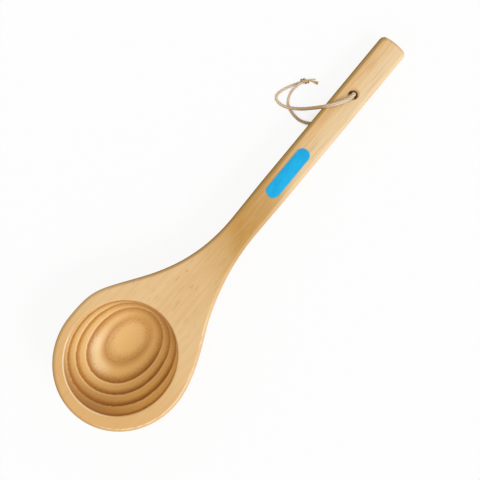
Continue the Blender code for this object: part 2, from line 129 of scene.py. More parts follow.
# Sticker, and its edge as heights above the handle, each with how far it is drawn in there
LABEL_LENGTH = 0.0490
LABEL_WIDTH = 0.0116
LABEL_FROM_END = 0.1131
LABEL_END_SEGMENTS = 32
LABEL_HEIGHTS = ((0.00022, 0.0), (0.00040, 0.0), (0.00046, 0.00022))

# Cord and knot. A girth is half the cord's thickness. A strand's lead is the straight run that
# brings it square to the knot.
CORD_GIRTH_AT_KNOT = 0.00104
CORD_NARROWING = 1.8
CORD_LEAD = 0.0012
TAIL_LEAD = 0.0008
STRAND_GAP = 0.0003
KNOT_LENGTH = 0.0064
KNOT_CENTRE = Vector((0.2649, 0.0322, 0.0033))
KNOT_HEADING = math.radians(-36.0)
WRAP_GIRTH = 0.00104
WRAP_RADIUS = 0.00165
WRAP_PITCH = 0.0021
WRAP_COUNT = 2
WRAP_STEPS = 30
WRAP_START = math.radians(250)
WRAP_SLANT = -0.55
WRAP_EASING_STEPS = 6.0
WRAP_TUCKED_SHARE = 0.35

# What the cord's node tree is given: its plies, and their lay in the knot and in the stretches
PLIES = {"Plies": 5, "Ply share": 0.47, "Ply sides": 18}
SHORT_LAY = {"Lay length": 0.012, "Point spacing": 0.0004}
LONG_LAY = {"Lay length": 0.015, "Point spacing": 0.0007}

# How far apart the points along a stretch and a cut end are, and how far each runs on inside the
# knot: a stretch by a share of the way to the knot's centre, a cut end by a share of its length
STRETCH_POINT_SPACING = 0.001
TAIL_POINT_SPACING = 0.0005
STRETCH_INSIDE_KNOT = 0.2
TAIL_INSIDE_KNOT = 0.6

# The wraps' painted shade, dark low on the knot and gone higher up, fades between two heights above
# the knot's centre, and a cut end's ruddy tone between two distances from its tip. The knot is less
# bleached than the cut ends, which count as 1.
KNOT_SHADE_RISES = (0.0010, 0.0029)
RUDDY_REACHES = (0.0008, 0.0056)
KNOT_BLEACHING = 0.6

# Growth layers of the board. A layer's surface is z - leaning(x, y) = a constant, and these are
# the constants at which a layer's dark wood ends, from the bottom of the hollow upwards.
LAYER_EDGES = (
    -0.068, -0.059, -0.051, -0.0445, -0.0389, -0.03645, -0.0304, -0.0237, -0.0131, 0.0101,
    0.026, 0.034, 0.044, 0.052, 0.063, 0.072, 0.083,
)

# How high the dark wood stands in the hollow. It sets in between two depths below the rim and
# between two shares of the way out from the bottom, and the lower layers have a share of it.
RELIEF = 0.00080
RELIEF_SHARPNESS = 1.3
RELIEF_DEPTHS = (0.0006, 0.0035)
RELIEF_STARTS = (0.02, 0.12)
RELIEF_LAYERS = (4.9, 5.1, 5.9, 6.1, 6.9, 7.1)
RELIEF_SHARES = (0.22, 0.5, 0.6, 0.85, 0.9, 1.0)

# The same layers show on the flat top face as faint lines along the handle, this far apart
LINE_SPACING = 0.0058

# How far the wood's tone leans to orange at places along the handle
WARM_PLACES = (0.040, 0.092, 0.108, 0.116, 0.126, 0.134, 0.142, 0.172, 0.186, 0.200, 0.218, 0.240)
WARM_SHARES = (0.10, 0.22, 0.42, 0.52, 0.66, 0.90, 1.0, 0.86, 0.68, 0.42, 0.14, 0.06)

# Soft orange patches on the handle: the centre, half the length and width, and how strong each is.
# Each fades between two shares of that size. They are the wood's own tone, and the middle one,
# under the cord, is also painted shadow of the cord.
BLUSHES = (
    ((0.313, -0.0015), 0.013, 0.0055, 0.7),
    ((0.262, 0.0000), 0.020, 0.0065, 0.9),
    ((0.236, -0.0040), 0.014, 0.0060, 0.4),
)
BLUSH_FADING = (0.25, 1.1)

# The hollow's tones, deeper and more saturated than the top face's, partly the wood's own tone and
# partly painted bounce light and painted shade, are full this far below the rim, and the handle's
# set in between two places along it. The outside comes to count as carved between two depths below
# the top face, and loses a share of that along the neck.
HOLLOW_TONE_DEPTH = 0.0016
HANDLE_TONE_START = (0.12, 0.20)
CARVED_DEPTHS = (0.0005, 0.006)
CARVED_NECK = (0.05, 0.15)
CARVED_NECK_LOSS = 0.55

# Directions in the ladle's own frame: towards the side of the hollow that the key light leaves in
# shade, where the wood's tone is deeper, partly its own and partly painted shade, the part of the
# mouth whose lip carries a painted highlight and the part of the hollow's floor that carries a
# painted sheen. The deeper tone grows over a reach on both sides of the middle. The other two grow
# between two cosines of the angle from their direction, and the lip's between two heights as well.
SHADED_SIDE = (-0.10, -0.995)
SHADED_REACH = 0.047
LIP_SIDE = (-0.904, 0.427)
LIP_HEIGHTS = (-0.0022, -0.0010)
LIP_SPREAD = (0.45, 0.80)
SHEEN_SIDE = (-0.68, 0.73)
SHEEN_SPREAD = (0.62, 1.0)

# Towards the side of the cord that is painted darker as painted shade
CORD_SHADE_SIDE = (-0.74, -0.56, -0.37)

# How finely the ladle and the cord are divided
TIP_STATIONS = 64
NECK_STATION_SPACING = 0.0013
HANDLE_STATION_SPACING = 0.0025
END_STATIONS = 16
UNDERSIDE_SEGMENTS = 48
EDGE_SEGMENTS = 10
HOLLOW_SPOKES = 352
HOLLOW_RINGS = 140
LIP_RINGS = 7
TOP_SPACING = 0.0024
TOP_INSET = EDGE_RADIUS + TOP_SPACING * 0.6
TOP_CLEARANCE = TOP_SPACING * 0.4
MOUTH_CLEARANCE = 0.03
HOLE_SEGMENTS = 72
OUTLINE_SPACING = 0.0003
PROFILE_STEPS = 2000
CURVE_STEPS = 160
ROUTE_STEPS = 40

# Points nearer than this become one, heights above this count as in the rim's plane, and edges
# sharper than this stay sharp
SAME_POINT = 1e-7
SAME_POINT_AT_MOUTH = 2e-6
RIM_PLANE = -1e-6
SHARP_ANGLE = math.radians(38)
LABEL_SHARP_ANGLE = math.radians(30)

# The strip along the edge whose tones differ, and how far below the top face it is looked for
EDGE_DEPTH = 0.006
EDGE_REACH = 0.020

# The cord's routes, from the middle of the hole to the knot
FRONT_ROUTE = (
    (0.28095, -0.00683, 0.01440),
    (0.28138, -0.00650, 0.01860),
    (0.28140, -0.00632, 0.02180),
    (0.28025, -0.00640, 0.02400),
    (0.27799, -0.00620, 0.02490),
    (0.27521, -0.00535, 0.02510),
    (0.27138, -0.00346, 0.02530),
    (0.26759, -0.00102, 0.02550),
    (0.26393, 0.00152, 0.02550),
    (0.26024, 0.00455, 0.02370),
    (0.25657, 0.00800, 0.01820),
    (0.25141, 0.01324, 0.01000),
    (0.24571, 0.01933, 0.00580),
    (0.24148, 0.02528, 0.00490),
    (0.23894, 0.02995, 0.00440),
    (0.23758, 0.03426, 0.00330),
    (0.23754, 0.03802, 0.00210),
    (0.23860, 0.04121, 0.00160),
    (0.24079, 0.04270, 0.00150),
    (0.24386, 0.04280, 0.00150),
    (0.24773, 0.04180, 0.00150),
    (0.25204, 0.04001, 0.00170),
    (0.25641, 0.03777, 0.00150),
    (0.25940, 0.03600, 0.00165),
)

BACK_ROUTE = (
    (0.28095, -0.00683, 0.01410),
    (0.28060, -0.00683, 0.01000),
    (0.28020, -0.00680, 0.00700),
    (0.27940, -0.00680, 0.00430),
    (0.27730, -0.00680, 0.00225),
    (0.27430, -0.00690, 0.00150),
    (0.26300, -0.00720, 0.00150),
    (0.25250, -0.00540, 0.00150),
    (0.24503, -0.00030, 0.00150),
    (0.24168, 0.00520, 0.00150),
    (0.23901, 0.00975, 0.00150),
    (0.23729, 0.01511, 0.00150),
    (0.23742, 0.02064, 0.00150),
    (0.23872, 0.02600, 0.00150),
    (0.24054, 0.02960, 0.00150),
    (0.24300, 0.03216, 0.00150),
    (0.24639, 0.03400, 0.00150),
    (0.25074, 0.03520, 0.00190),
    (0.25499, 0.03510, 0.00300),
    (0.25830, 0.03440, 0.00400),
)

# The stretches: the piece, its CAD node, its route, its seat (how far aside and how far up from
# the knot's centre it comes into the knot) and its girth at the hole
STRETCHES = (
    ("cord_over_handle", "cord_front", FRONT_ROUTE, (0.0000, -0.0012), 0.00172),
    ("cord_under_handle", "cord_back", BACK_ROUTE, (-0.0010, 0.0011), 0.00142),
)

# The cut ends: the piece, its CAD node, its tip, its seat, its girths at three shares of the way
# from the knot to the tip, and how ruddy the tip is
CUT_ENDS = (
    (
        "cut_end_upper",
        "cord_tail_upper",
        Vector((0.27186, 0.02619, 0.0028)),
        (0.0003, 0.0009),
        (0.00070, 0.00052, 0.00064),
        0.1,
    ),
    (
        "cut_end_lower",
        "cord_tail_lower",
        Vector((0.27053, 0.02271, 0.0014)),
        (-0.0005, -0.0009),
        (0.00080, 0.00086, 0.00144),
        0.85,
    ),
)
GIRTH_PLACES = (0.0, 0.6, 1.0)


# Node trees

class Value:
    """A node's output. Arithmetic on it adds Math nodes to its tree."""

    def __init__(self, tree, socket):
        self.tree = tree
        self.socket = socket

    def maths(self, operation, *terms):
        return self.tree.add("ShaderNodeMath", {"operation": operation}, dict(enumerate(terms)))

    def __add__(self, other):
        return self.maths("ADD", self, other)

    def __radd__(self, other):
        return self.maths("ADD", other, self)

    def __sub__(self, other):
        return self.maths("SUBTRACT", self, other)

    def __rsub__(self, other):
        return self.maths("SUBTRACT", other, self)

    def __mul__(self, other):
        return self.maths("MULTIPLY", self, other)

    def __rmul__(self, other):
        return self.maths("MULTIPLY", other, self)

    def __truediv__(self, other):
        return self.maths("DIVIDE", self, other)

    def __rtruediv__(self, other):
        return self.maths("DIVIDE", other, self)

    def fraction(self):
        return self.maths("FRACT", self)

    def at_least(self, other):
        return self.maths("MAXIMUM", self, other)

    def at_most(self, other):
        return self.maths("MINIMUM", self, other)


class Tree:
    """A shader or geometry node tree that is being built."""

    def __init__(self, nodes):
        self.nodes = nodes

    def add(self, kind, settings=None, inputs=None, output=0):
        """Adds a node, with its settings first, and returns the output that is asked for."""
        node = self.nodes.nodes.new(kind)
        for name, value in (settings or {}).items():
            setattr(node, name, value)
        for name, value in (inputs or {}).items():
            if isinstance(value, Value):
                self.nodes.links.new(value.socket, node.inputs[name])
            else:
                node.inputs[name].default_value = value
        return Value(self, node.outputs[output]) if node.outputs else node

    def attribute(self, name, output="Fac"):
        return self.add("ShaderNodeAttribute", {"attribute_name": name}, output=output)

    def vector(self, operation, first, second=None, output=0):
        """Vector maths. To scale, the second term is one number."""
        inputs = {0: first}
        if second is not None:
            inputs["Scale" if operation == "SCALE" else 1] = second
        return self.add("ShaderNodeVectorMath", {"operation": operation}, inputs, output)

    def noise(self, place, cells, detail=2.0, roughness=0.5):
        """Noise from 0 to 1, with this many cells to a unit of the place on each axis."""
        vector = self.vector("MULTIPLY", place, cells)
        inputs = {"Vector": vector, "Scale": 1.0, "Detail": detail, "Roughness": roughness}
        return self.add("ShaderNodeTexNoise", None, inputs)

    def between(self, value, low, high, start=0.0, end=1.0):
        """start where value is low, end where it is high, and a smooth step between them."""
        inputs = {"Value": value, 1: low, 2: high, 3: start, 4: end}
        settings = {"interpolation_type": "SMOOTHSTEP"}
        return self.add("ShaderNodeMapRange", settings, inputs)

    def mixed(self, factor, first, second, blend="MIX"):
        """Two colours mixed by a factor."""
        inputs = {"Factor": factor, 6: first, 7: second}
        settings = {"data_type": "RGBA", "blend_type": blend, "clamp_factor": True}
        return self.add("ShaderNodeMix", settings, inputs, output=2)

    def coated(self, colour, *coats):
        """The colour under some coats, each an amount and a tone."""
        for amount, tone in coats:
            colour = self.mixed(amount, colour, tone)
        return colour


def material_tree(name):
    material = bpy.data.materials.new(name)
    material.use_nodes = True
    material.node_tree.nodes.clear()
    return material, Tree(material.node_tree)


def finish_shader(tree, shader):
    tree.add("ShaderNodeOutputMaterial", None, {"Surface": shader})


def finish_surface(tree, sockets, relief, strength, distance):
    """Ends a tree with a surface of these socket values and this fine relief."""
    bump = {"Strength": strength, "Distance": distance, "Height": relief}
    sockets = {**sockets, "Normal": tree.add("ShaderNodeBump", None, bump)}
    finish_shader(tree, tree.add("ShaderNodeBsdfPrincipled", None, sockets))


def srgb(*channels):
    """A colour as it is seen, from 0 to 255, as the linear colour that a shader takes."""
    shares = [channel / 255 for channel in channels]
    return *(s / 12.92 if s <= 0.04045 else ((s + 0.055) / 1.055) ** 2.4 for s in shares), 1.0


def placed_object(name, data):
    item = bpy.data.objects.new(name, data)
    bpy.context.collection.objects.link(item)
    return item


# Camera, light and floor

def place_camera():
    data = bpy.data.cameras.new("camera")
    data.sensor_width = SENSOR_WIDTH
    data.lens = SENSOR_WIDTH * FOCAL_PIXELS / PHOTO_SIDE
    camera = placed_object("camera", data)
    lean = Matrix.Rotation(CAMERA_LEAN, 4, "Y")
    turn = Matrix.Rotation(CAMERA_TURN, 4, "Z")
    camera.matrix_world = Matrix.Translation(CAMERA_PLACE) @ lean @ turn
    bpy.context.scene.camera = camera


def light_studio():
    data = bpy.data.lights.new("key_light", "SUN")
    data.energy = KEY_STRENGTH
    data.angle = KEY_SOFTNESS
    key = placed_object("key_light", data)
    key.matrix_world = Vector(KEY_HEADING).to_track_quat("Z", "Y").to_matrix().to_4x4()

    world = bpy.data.worlds.new("studio")
    bpy.context.scene.world = world
    world.use_nodes = True
    world.node_tree.nodes.clear()
    tree = Tree(world.node_tree)
    white = seen_directly(tree)
    strength = SKY_STRENGTH + (1.0 - SKY_STRENGTH) * white
    sky = tree.add("ShaderNodeBackground", None, {"Color": (1, 1, 1, 1), "Strength": strength})
    tree.add("ShaderNodeOutputWorld", None, {"Surface": sky})


def seen_directly(tree):
    """1 for rays from the camera, a reflection or a clear piece, and 0 for light on the object."""
    camera, glossy, clear = (
        tree.add("ShaderNodeLightPath", output=f"Is {kind} Ray")
        for kind in ("Camera", "Glossy", "Transmission")
    )
    return (camera + glossy + clear).at_most(1.0)


def lay_floor():
    """A white floor, part of whose white is its own when seen, so that shadows on it are faint."""
    half = FLOOR_SIDE / 2
    mesh = bpy.data.meshes.new("floor")
    corners = [(-half, -half, 0), (half, -half, 0), (half, half, 0), (-half, half, 0)]
    mesh.from_pydata(corners, [], [(0, 1, 2, 3)])
    floor = placed_object("floor", mesh)
    material, tree = material_tree("floor_white")
    paint = tree.add("ShaderNodeBsdfDiffuse", None, {"Color": FLOOR_WHITE})
    glow = tree.add("ShaderNodeEmission", None, {"Color": (1, 1, 1, 1), "Strength": 1.0})
    reach = {"Distance": FLOOR_SHADE_REACH}
    open_air = tree.add("ShaderNodeAmbientOcclusion", {"samples": 12}, reach, "AO")
    share = seen_directly(tree) * FLOOR_GLOW * tree.between(open_air, *FLOOR_OPEN_SHARES)
    finish_shader(tree, tree.add("ShaderNodeMixShader", None, {0: share, 1: paint, 2: glow}))
    mesh.materials.append(material)


# Pieces

def finished_piece(name, mesh, material, body, node):
    """A plain mesh object that rides on a body and stands for a node of the model."""
    mesh.name = name
    mesh.materials.clear()
    mesh.materials.append(material)
    piece = placed_object(name, mesh)
    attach(piece, body)
    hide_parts(node)
    return piece


def laid_cord_tree():
    """Geometry nodes that lay several plies round a curve, as thick as the curve's radius."""
    nodes = bpy.data.node_groups.new("laid_cord", "GeometryNodeTree")
    tree = Tree(nodes)
    for kind, name in (
        ("NodeSocketGeometry", "Line"),
        ("NodeSocketInt", "Plies"),
        ("NodeSocketFloat", "Lay length"),
        ("NodeSocketFloat", "Ply share"),
        ("NodeSocketInt", "Ply sides"),
        ("NodeSocketFloat", "Point spacing"),
        ("NodeSocketMaterial", "Finish"),
    ):
        nodes.interface.new_socket(name, in_out="INPUT", socket_type=kind)
    nodes.interface.new_socket("Cord", in_out="OUTPUT", socket_type="NodeSocketGeometry")

    def given(name):
        return tree.add("NodeGroupInput", output=name)

    def stored(geometry, name, kind, value):
        settings = {"data_type": kind, "domain": "POINT"}
        inputs = {"Geometry": geometry, "Name": name, "Value": value}
        return tree.add("GeometryNodeStoreNamedAttribute", settings, inputs)

    def named(name, kind):
        return tree.add("GeometryNodeInputNamedAttribute", {"data_type": kind}, {"Name": name})

    spacing = {"Curve": given("Line"), "Length": given("Point spacing")}
    line = tree.add("GeometryNodeResampleCurve", {"mode": "LENGTH"}, spacing)
    for name, kind, source in (
        ("girth", "FLOAT", tree.add("GeometryNodeInputRadius")),
        ("along", "FLOAT", tree.add("GeometryNodeSplineParameter", output="Length")),
        ("middle", "FLOAT_VECTOR", tree.add("GeometryNodeInputPosition")),
    ):
        line = stored(line, name, kind, source)

    # Each ply winds round the line, and the plies are evenly turned against each other
    doubled = {"Geometry": line, "Amount": given("Plies")}
    plies = tree.add("GeometryNodeDuplicateElements", {"domain": "SPLINE"}, doubled)
    which = Value(tree, plies.socket.node.outputs["Duplicate Index"])
    turn = (which / given("Plies") + named("along", "FLOAT") / given("Lay length")) * math.tau
    normal = tree.add("GeometryNodeInputNormal")
    across = tree.vector("CROSS_PRODUCT", tree.add("GeometryNodeInputTangent"), normal)
    out = named("girth", "FLOAT") * (1.0 - given("Ply share"))
    first = tree.vector("SCALE", normal, turn.maths("COSINE", turn) * out)
    second = tree.vector("SCALE", across, turn.maths("SINE", turn) * out)
    shift = {"Geometry": plies, "Offset": tree.vector("ADD", first, second)}
    plies = tree.add("GeometryNodeSetPosition", None, shift)

    circle = {"Resolution": given("Ply sides"), "Radius": 1.0}
    ring = tree.add("GeometryNodeCurvePrimitiveCircle", {"mode": "RADIUS"}, circle)
    ring = stored(ring, "side", "FLOAT_VECTOR", tree.add("GeometryNodeInputPosition"))
    swept = {
        "Curve": plies,
        "Profile Curve": ring,
        "Scale": named("girth", "FLOAT") * given("Ply share"),
        "Fill Caps": True,
    }
    cord = tree.add("GeometryNodeCurveToMesh", None, swept)
    place = tree.add("GeometryNodeInputPosition")
    arm = tree.vector("SUBTRACT", place, named("middle", "FLOAT_VECTOR"))
    reach = tree.vector("SCALE", arm, 1.0 / named("girth", "FLOAT"))
    cord = stored(cord, "reach", "FLOAT_VECTOR", reach)
    cord = tree.add("GeometryNodeSetShadeSmooth", None, {"Geometry": cord})
    cord = tree.add("GeometryNodeRealizeInstances", None, {"Geometry": cord})
    finish = {"Geometry": cord, "Material": given("Finish")}
    cord = tree.add("GeometryNodeSetMaterial", None, finish)
    tree.add("NodeGroupOutput", None, {"Cord": cord})
    return nodes


def laid_cord_mesh(name, points, girths, nodes, sizes):
    """A mesh of cord through the points, as thick at each as its girth."""
    data = bpy.data.curves.new(name, "CURVE")
    data.dimensions = "3D"
    spline = data.splines.new("POLY")
    spline.points.add(len(points) - 1)
    for slot, point, girth in zip(spline.points, points, girths):
        slot.co = (*point, 1.0)
        slot.radius = girth
    line = placed_object(name + "_line", data)
    modifier = line.modifiers.new("cord", "NODES")
    modifier.node_group = nodes
    for socket in nodes.interface.items_tree:
        if socket.in_out == "INPUT" and socket.name in sizes:
            modifier[socket.identifier] = sizes[socket.name]
    graph = bpy.context.evaluated_depsgraph_get()
    mesh = bpy.data.meshes.new_from_object(line.evaluated_get(graph), depsgraph=graph)
    bpy.data.objects.remove(line)
    return mesh


def store_values(mesh, name, values):
    mesh.attributes.new(name, "FLOAT", "POINT").data.foreach_set("value", values)


def smooth_points(route, spacing):
    """Evenly spaced points on a smooth curve through the route, whose last run stays straight."""
    route = [Vector(point) for point in route]
    tangents = []
    for i, point in enumerate(route):
        before = route[max(i - 1, 0)]
        after = route[min(i + 1, len(route) - 1)]
        tangents.append((after - before).normalized())
    fine = [route[0]]
    for i in range(len(route) - 2):
        third = (route[i + 1] - route[i]).length / 3.0
        leave = route[i] + tangents[i] * third
        arrive = route[i + 1] - tangents[i + 1] * third
        fine += interpolate_bezier(route[i], leave, arrive, route[i + 1], ROUTE_STEPS)[1:]
    fine.append(route[-1])
    steps = np.cumsum([0.0] + [(b - a).length for a, b in zip(fine, fine[1:])])
    wanted = np.linspace(0.0, steps[-1], max(round(steps[-1] / spacing), 1) + 1)
    columns = [np.interp(wanted, steps, [point[axis] for point in fine]) for axis in range(3)]
    return [Vector(point) for point in zip(*columns)]


def knot_axes():
    """The knot's own directions: along it, across it on the table, and up."""
    along = Vector((math.cos(KNOT_HEADING), math.sin(KNOT_HEADING), 0.0))
    return along, Vector((-along.y, along.x, 0.0)), Vector((0.0, 0.0, 1.0))


def strand_seat(sign, seat, lead):
    """Two points, a lead apart, that bring a strand square into one end of the knot."""
    along, across, up = knot_axes()
    place = KNOT_CENTRE + sign * along * (KNOT_LENGTH / 2 + STRAND_GAP)
    place += seat[0] * across + seat[1] * up
    return place + sign * along * lead, place


def cord_girths(points, at_hole):
    """The cord is full in the hole and drawn thinner towards the knot."""
    share = np.linspace(0.0, 1.0, len(points)) ** CORD_NARROWING
    return at_hole + (CORD_GIRTH_AT_KNOT - at_hole) * share


def wrap_points():
    """The slanted wraps of the knot, as one winding line whose ends dip into its core."""
    along, across, up = knot_axes()
    points = []
    count = WRAP_STEPS * WRAP_COUNT
    for i in range(count + 1):
        turns = WRAP_COUNT * i / count
        angle = math.tau * turns + WRAP_START
        ease = min(i, count - i) / WRAP_EASING_STEPS
        share = min(WRAP_TUCKED_SHARE + (1.0 - WRAP_TUCKED_SHARE) * ease, 1.0)
        radius = WRAP_RADIUS * share
        place = WRAP_PITCH * (turns - WRAP_COUNT / 2)
        place += WRAP_SLANT * radius * math.cos(angle)
        side = math.cos(angle) * across + math.sin(angle) * up
        points.append(KNOT_CENTRE + place * along + radius * side)
    return points


def cord_piece(name, mesh, finish, node):
    return finished_piece(name, mesh, finish, "hanging_loop", node)


def make_knot(nodes, sizes):
    wraps = wrap_points()
    mesh = laid_cord_mesh("knot", wraps, [WRAP_GIRTH] * len(wraps), nodes, sizes)
    rises = [vertex.co.z - KNOT_CENTRE.z for vertex in mesh.vertices]
    # Painted shade on the knot's lower sides
    store_values(mesh, "knot_shade", [1.0 - eased(rise, *KNOT_SHADE_RISES) for rise in rises])
    store_values(mesh, "bleached", [KNOT_BLEACHING] * len(rises))
    return cord_piece("knot", mesh, sizes["Finish"], "cord_knot")


def make_cut_end(name, node, tip, seat, girths, ruddy, nodes, sizes):
    before, mouth = strand_seat(1, seat, TAIL_LEAD)
    inside = mouth - knot_axes()[0] * KNOT_LENGTH * TAIL_INSIDE_KNOT
    points = smooth_points([tip, before, mouth, inside], TAIL_POINT_SPACING)[::-1]
    thick = np.interp(np.linspace(0.0, 1.0, len(points)), GIRTH_PLACES, girths)
    mesh = laid_cord_mesh(name, points, thick, nodes, sizes)
    reaches = [(vertex.co - tip).length for vertex in mesh.vertices]
    tones = [ruddy * (1.0 - eased(reach, *RUDDY_REACHES)) for reach in reaches]
    store_values(mesh, "tip", tones)
    store_values(mesh, "bleached", [1.0] * len(reaches))
    return cord_piece(name, mesh, sizes["Finish"], node)


def make_cord():
    """The stretches, the knot and the cut ends, all laid by one node tree."""
    finish = cord_material("waxed_cord", True)
    knot_finish = cord_material("knotted_cord", False)
    nodes = laid_cord_tree()
    sizes = {**PLIES, **SHORT_LAY, "Finish": knot_finish}
    knot = make_knot(nodes, sizes)
    tails = [make_cut_end(*cut_end, nodes, sizes) for cut_end in CUT_ENDS]

    sizes = {**PLIES, **LONG_LAY, "Finish": finish}
    for name, node, route, place, girth in STRETCHES:
        before, seat = strand_seat(-1, place, CORD_LEAD)
        inside = KNOT_CENTRE + (seat - KNOT_CENTRE) * STRETCH_INSIDE_KNOT
        points = smooth_points([*route, before, seat, inside], STRETCH_POINT_SPACING)
        mesh = laid_cord_mesh(name, points, cord_girths(points, girth), nodes, sizes)
        piece = cord_piece(name, mesh, finish, node)


# The ladle's outline and profiles

def eased(x, start, end):
    share = np.clip((x - start) / (end - start), 0.0, 1.0)
    return share * share * (3.0 - 2.0 * share)


def curve_through(*knots):
    """Arrays of x and y along Bezier pieces. A knot is a point, an angle and two pulls."""
    points = []
    for (start, angle, _, pull), (end, end_angle, end_pull, _) in zip(knots, knots[1:]):
        first = Vector(start)
        last = Vector(end)
        leave = first + pull * Vector((math.cos(angle), math.sin(angle)))
        arrive = last - end_pull * Vector((math.cos(end_angle), math.sin(end_angle)))
        points += interpolate_bezier(first, leave, arrive, last, CURVE_STEPS)[bool(points):]
    return np.array([p[0] for p in points]), np.array([p[1] for p in points])


def shoulder_curve(shoulder_y, angle, pulls, waist_y):
    widest = ((0.0, BOWL_WIDTH / 2), 0.0, 0.0, pulls[0])
    shoulder = ((SHOULDER_X, shoulder_y), angle, pulls[1], pulls[2])
    waist = ((WAIST_X, waist_y), 0.0, pulls[3], 0.0)
    return curve_through(widest, shoulder, waist)


SIDE_CURVES = {
    1: shoulder_curve(
        LEFT_SHOULDER_Y, LEFT_SHOULDER_ANGLE, LEFT_SHOULDER_PULLS, WAIST_WIDTH / 2 - HANDLE_ASIDE
    ),
    -1: shoulder_curve(
        RIGHT_SHOULDER_Y, RIGHT_SHOULDER_ANGLE, RIGHT_SHOULDER_PULLS, WAIST_WIDTH / 2 + HANDLE_ASIDE
    ),
}


def end_half_width(inset):
    """The handle's half width at this distance before its end, where its corners are round."""
    corner_start = END_CORNER_RADIUS + END_CROWN
    if inset >= corner_start:
        return HANDLE_WIDTH / 2
    straight = HANDLE_WIDTH / 2 - END_CORNER_RADIUS
    if inset <= END_CROWN:
        return straight * math.sqrt(max(inset, 0.0) / END_CROWN)
    drop = corner_start - inset
    return straight + math.sqrt(max(END_CORNER_RADIUS**2 - drop**2, 0.0))


def side_y(x, side):
    """The outline's y at x, on the left (side 1) or the right (side -1)."""
    if x <= 0.0:
        return side * BOWL_WIDTH / 2 * math.sqrt(max(1.0 - (2.0 * x / BOWL_LENGTH) ** 2, 0.0))
    if x <= WAIST_X:
        return side * float(np.interp(x, *SIDE_CURVES[side]))
    narrowing = (1.0 - eased(x, WAIST_X, WAIST_END_X)) * (HANDLE_WIDTH - WAIST_WIDTH) / 2
    return side * (end_half_width(HANDLE_REACH - x) - narrowing) - HANDLE_ASIDE


def top_z(x):
    """Height of the top face: flat on the rim, lifting through the neck, then a straight slope."""
    slope = math.tan(HANDLE_SLOPE)
    span = LIFT_END_X - LIFT_START_X
    share = np.clip((x - LIFT_START_X) / span, 0.0, 1.0)
    lift = LIFT * share**2 * (3.0 - 2.0 * share) + span * slope * (share**3 - share**2)
    return lift + np.maximum(x - LIFT_END_X, 0.0) * slope


def bowl_underside_z(x):
    share = max(1.0 - (2.0 * x / BOWL_LENGTH) ** 2, 0.0)
    return -EDGE_RADIUS - (BOWL_DEPTH - EDGE_RADIUS) * math.sqrt(share)


def slope_angle(height, x, step=1e-4):
    return math.atan2(height(x + step) - height(x - step), 2.0 * step)


UNDERSIDE_CURVE = curve_through(
    (
        (UNDERSIDE_LEAVES_BOWL_X, bowl_underside_z(UNDERSIDE_LEAVES_BOWL_X)),
        slope_angle(bowl_underside_z, UNDERSIDE_LEAVES_BOWL_X),
        0.0,
        UNDERSIDE_PULLS[0],
    ),
    (
        (UNDERSIDE_MEETS_HANDLE_X, top_z(UNDERSIDE_MEETS_HANDLE_X) - HANDLE_THICKNESS),
        slope_angle(top_z, UNDERSIDE_MEETS_HANDLE_X),
        UNDERSIDE_PULLS[1],
        0.0,
    ),
)


def underside_z(x):
    """Height of the lowest line under the ladle."""
    if x <= UNDERSIDE_LEAVES_BOWL_X:
        return bowl_underside_z(x)
    if x <= UNDERSIDE_MEETS_HANDLE_X:
        return float(np.interp(x, *UNDERSIDE_CURVE))
    past = max(END_EDGE_RADIUS - (HANDLE_REACH - x), 0.0)
    rounding = END_EDGE_RADIUS - math.sqrt(max(END_EDGE_RADIUS**2 - past**2, 0.0))
    return top_z(x) - HANDLE_THICKNESS + rounding


def stations():
    """Places along the ladle, from the tip of the bowl to the handle's end."""
    half = BOWL_LENGTH / 2
    places = [-half * math.cos(math.pi / 2 * i / TIP_STATIONS) for i in range(TIP_STATIONS)]
    round_start = HANDLE_REACH - END_CORNER_RADIUS - END_CROWN
    for start, end, spacing in (
        (0.0, WAIST_END_X, NECK_STATION_SPACING),
        (WAIST_END_X, round_start, HANDLE_STATION_SPACING),
    ):
        places += list(np.linspace(start, end, math.ceil((end - start) / spacing), endpoint=False))
    for i in range(END_STATIONS + 1):
        turn = math.pi / 2 * i / END_STATIONS
        places.append(round_start + (HANDLE_REACH - round_start) * math.sin(turn))
    return places


def outline():
    """The ladle's edge seen from above, along its left side to the end and back on its right."""
    places = stations()
    right = [(x, side_y(x, -1)) for x in places[-2:0:-1]]
    return [(x, side_y(x, 1)) for x in places] + right


# The wood

def layer_number(points):
    """Which growth layer each point is in. The fraction tells how far through the layer it is.

    The layers lean as the board was sawn. The lean is worked out in millimetres.
    """
    x, y, z = (1000.0 * points[:, axis] for axis in range(3))
    cx = np.clip(x, -50.0, 50.0)
    cy = np.clip(y, -50.0, 50.0)
    bowl = 0.11246 * cx + 0.12379 * cy + 0.000935 * cx**2 - 0.00315 * cy**2 - 0.0004 * cx * cy
    bowl += 0.0000417 * cx**3 + 0.0000167 * cy**3 + 0.00003 * cx**2 * cy - 0.00001 * cx * cy**2
    past = np.maximum(x - 50.0, 0.0)
    slant = eased(x, 55.0, 150.0)
    wander = 1.6 * np.sin(x / 31.0 + 0.6) + 0.9 * np.sin(x / 13.7 + y / 9.0)
    handle = 0.080 * past - slant * (0.50 * (y + 6.0) + wander)
    return np.interp(z - bowl - handle, 1000.0 * np.array(LAYER_EDGES), range(len(LAYER_EDGES)))


def line_number(points):
    """Which of the faint lines along the handle each point is in."""
    x, y, z = points.T
    wander = 0.35 * np.sin(x / 0.034 + 1.0) + 0.18 * np.sin(x / 0.0121 + y / 0.016)
    uneven = 0.8 * np.sin(y / 0.0092 + 0.7) + 0.4 * np.sin(y / 0.0041)
    return 40.0 + (y + 0.05 * x + 0.4 * z) / LINE_SPACING + wander + 0.5 * uneven


def warmth(points):
    """How far the wood's tone leans to orange, from 0 to 1, strongest in the neck."""
    x, y, _ = points.T
    across = np.clip(y + HANDLE_ASIDE, -0.012, 0.012)
    return np.interp(x - 0.9 * across, WARM_PLACES, WARM_SHARES)


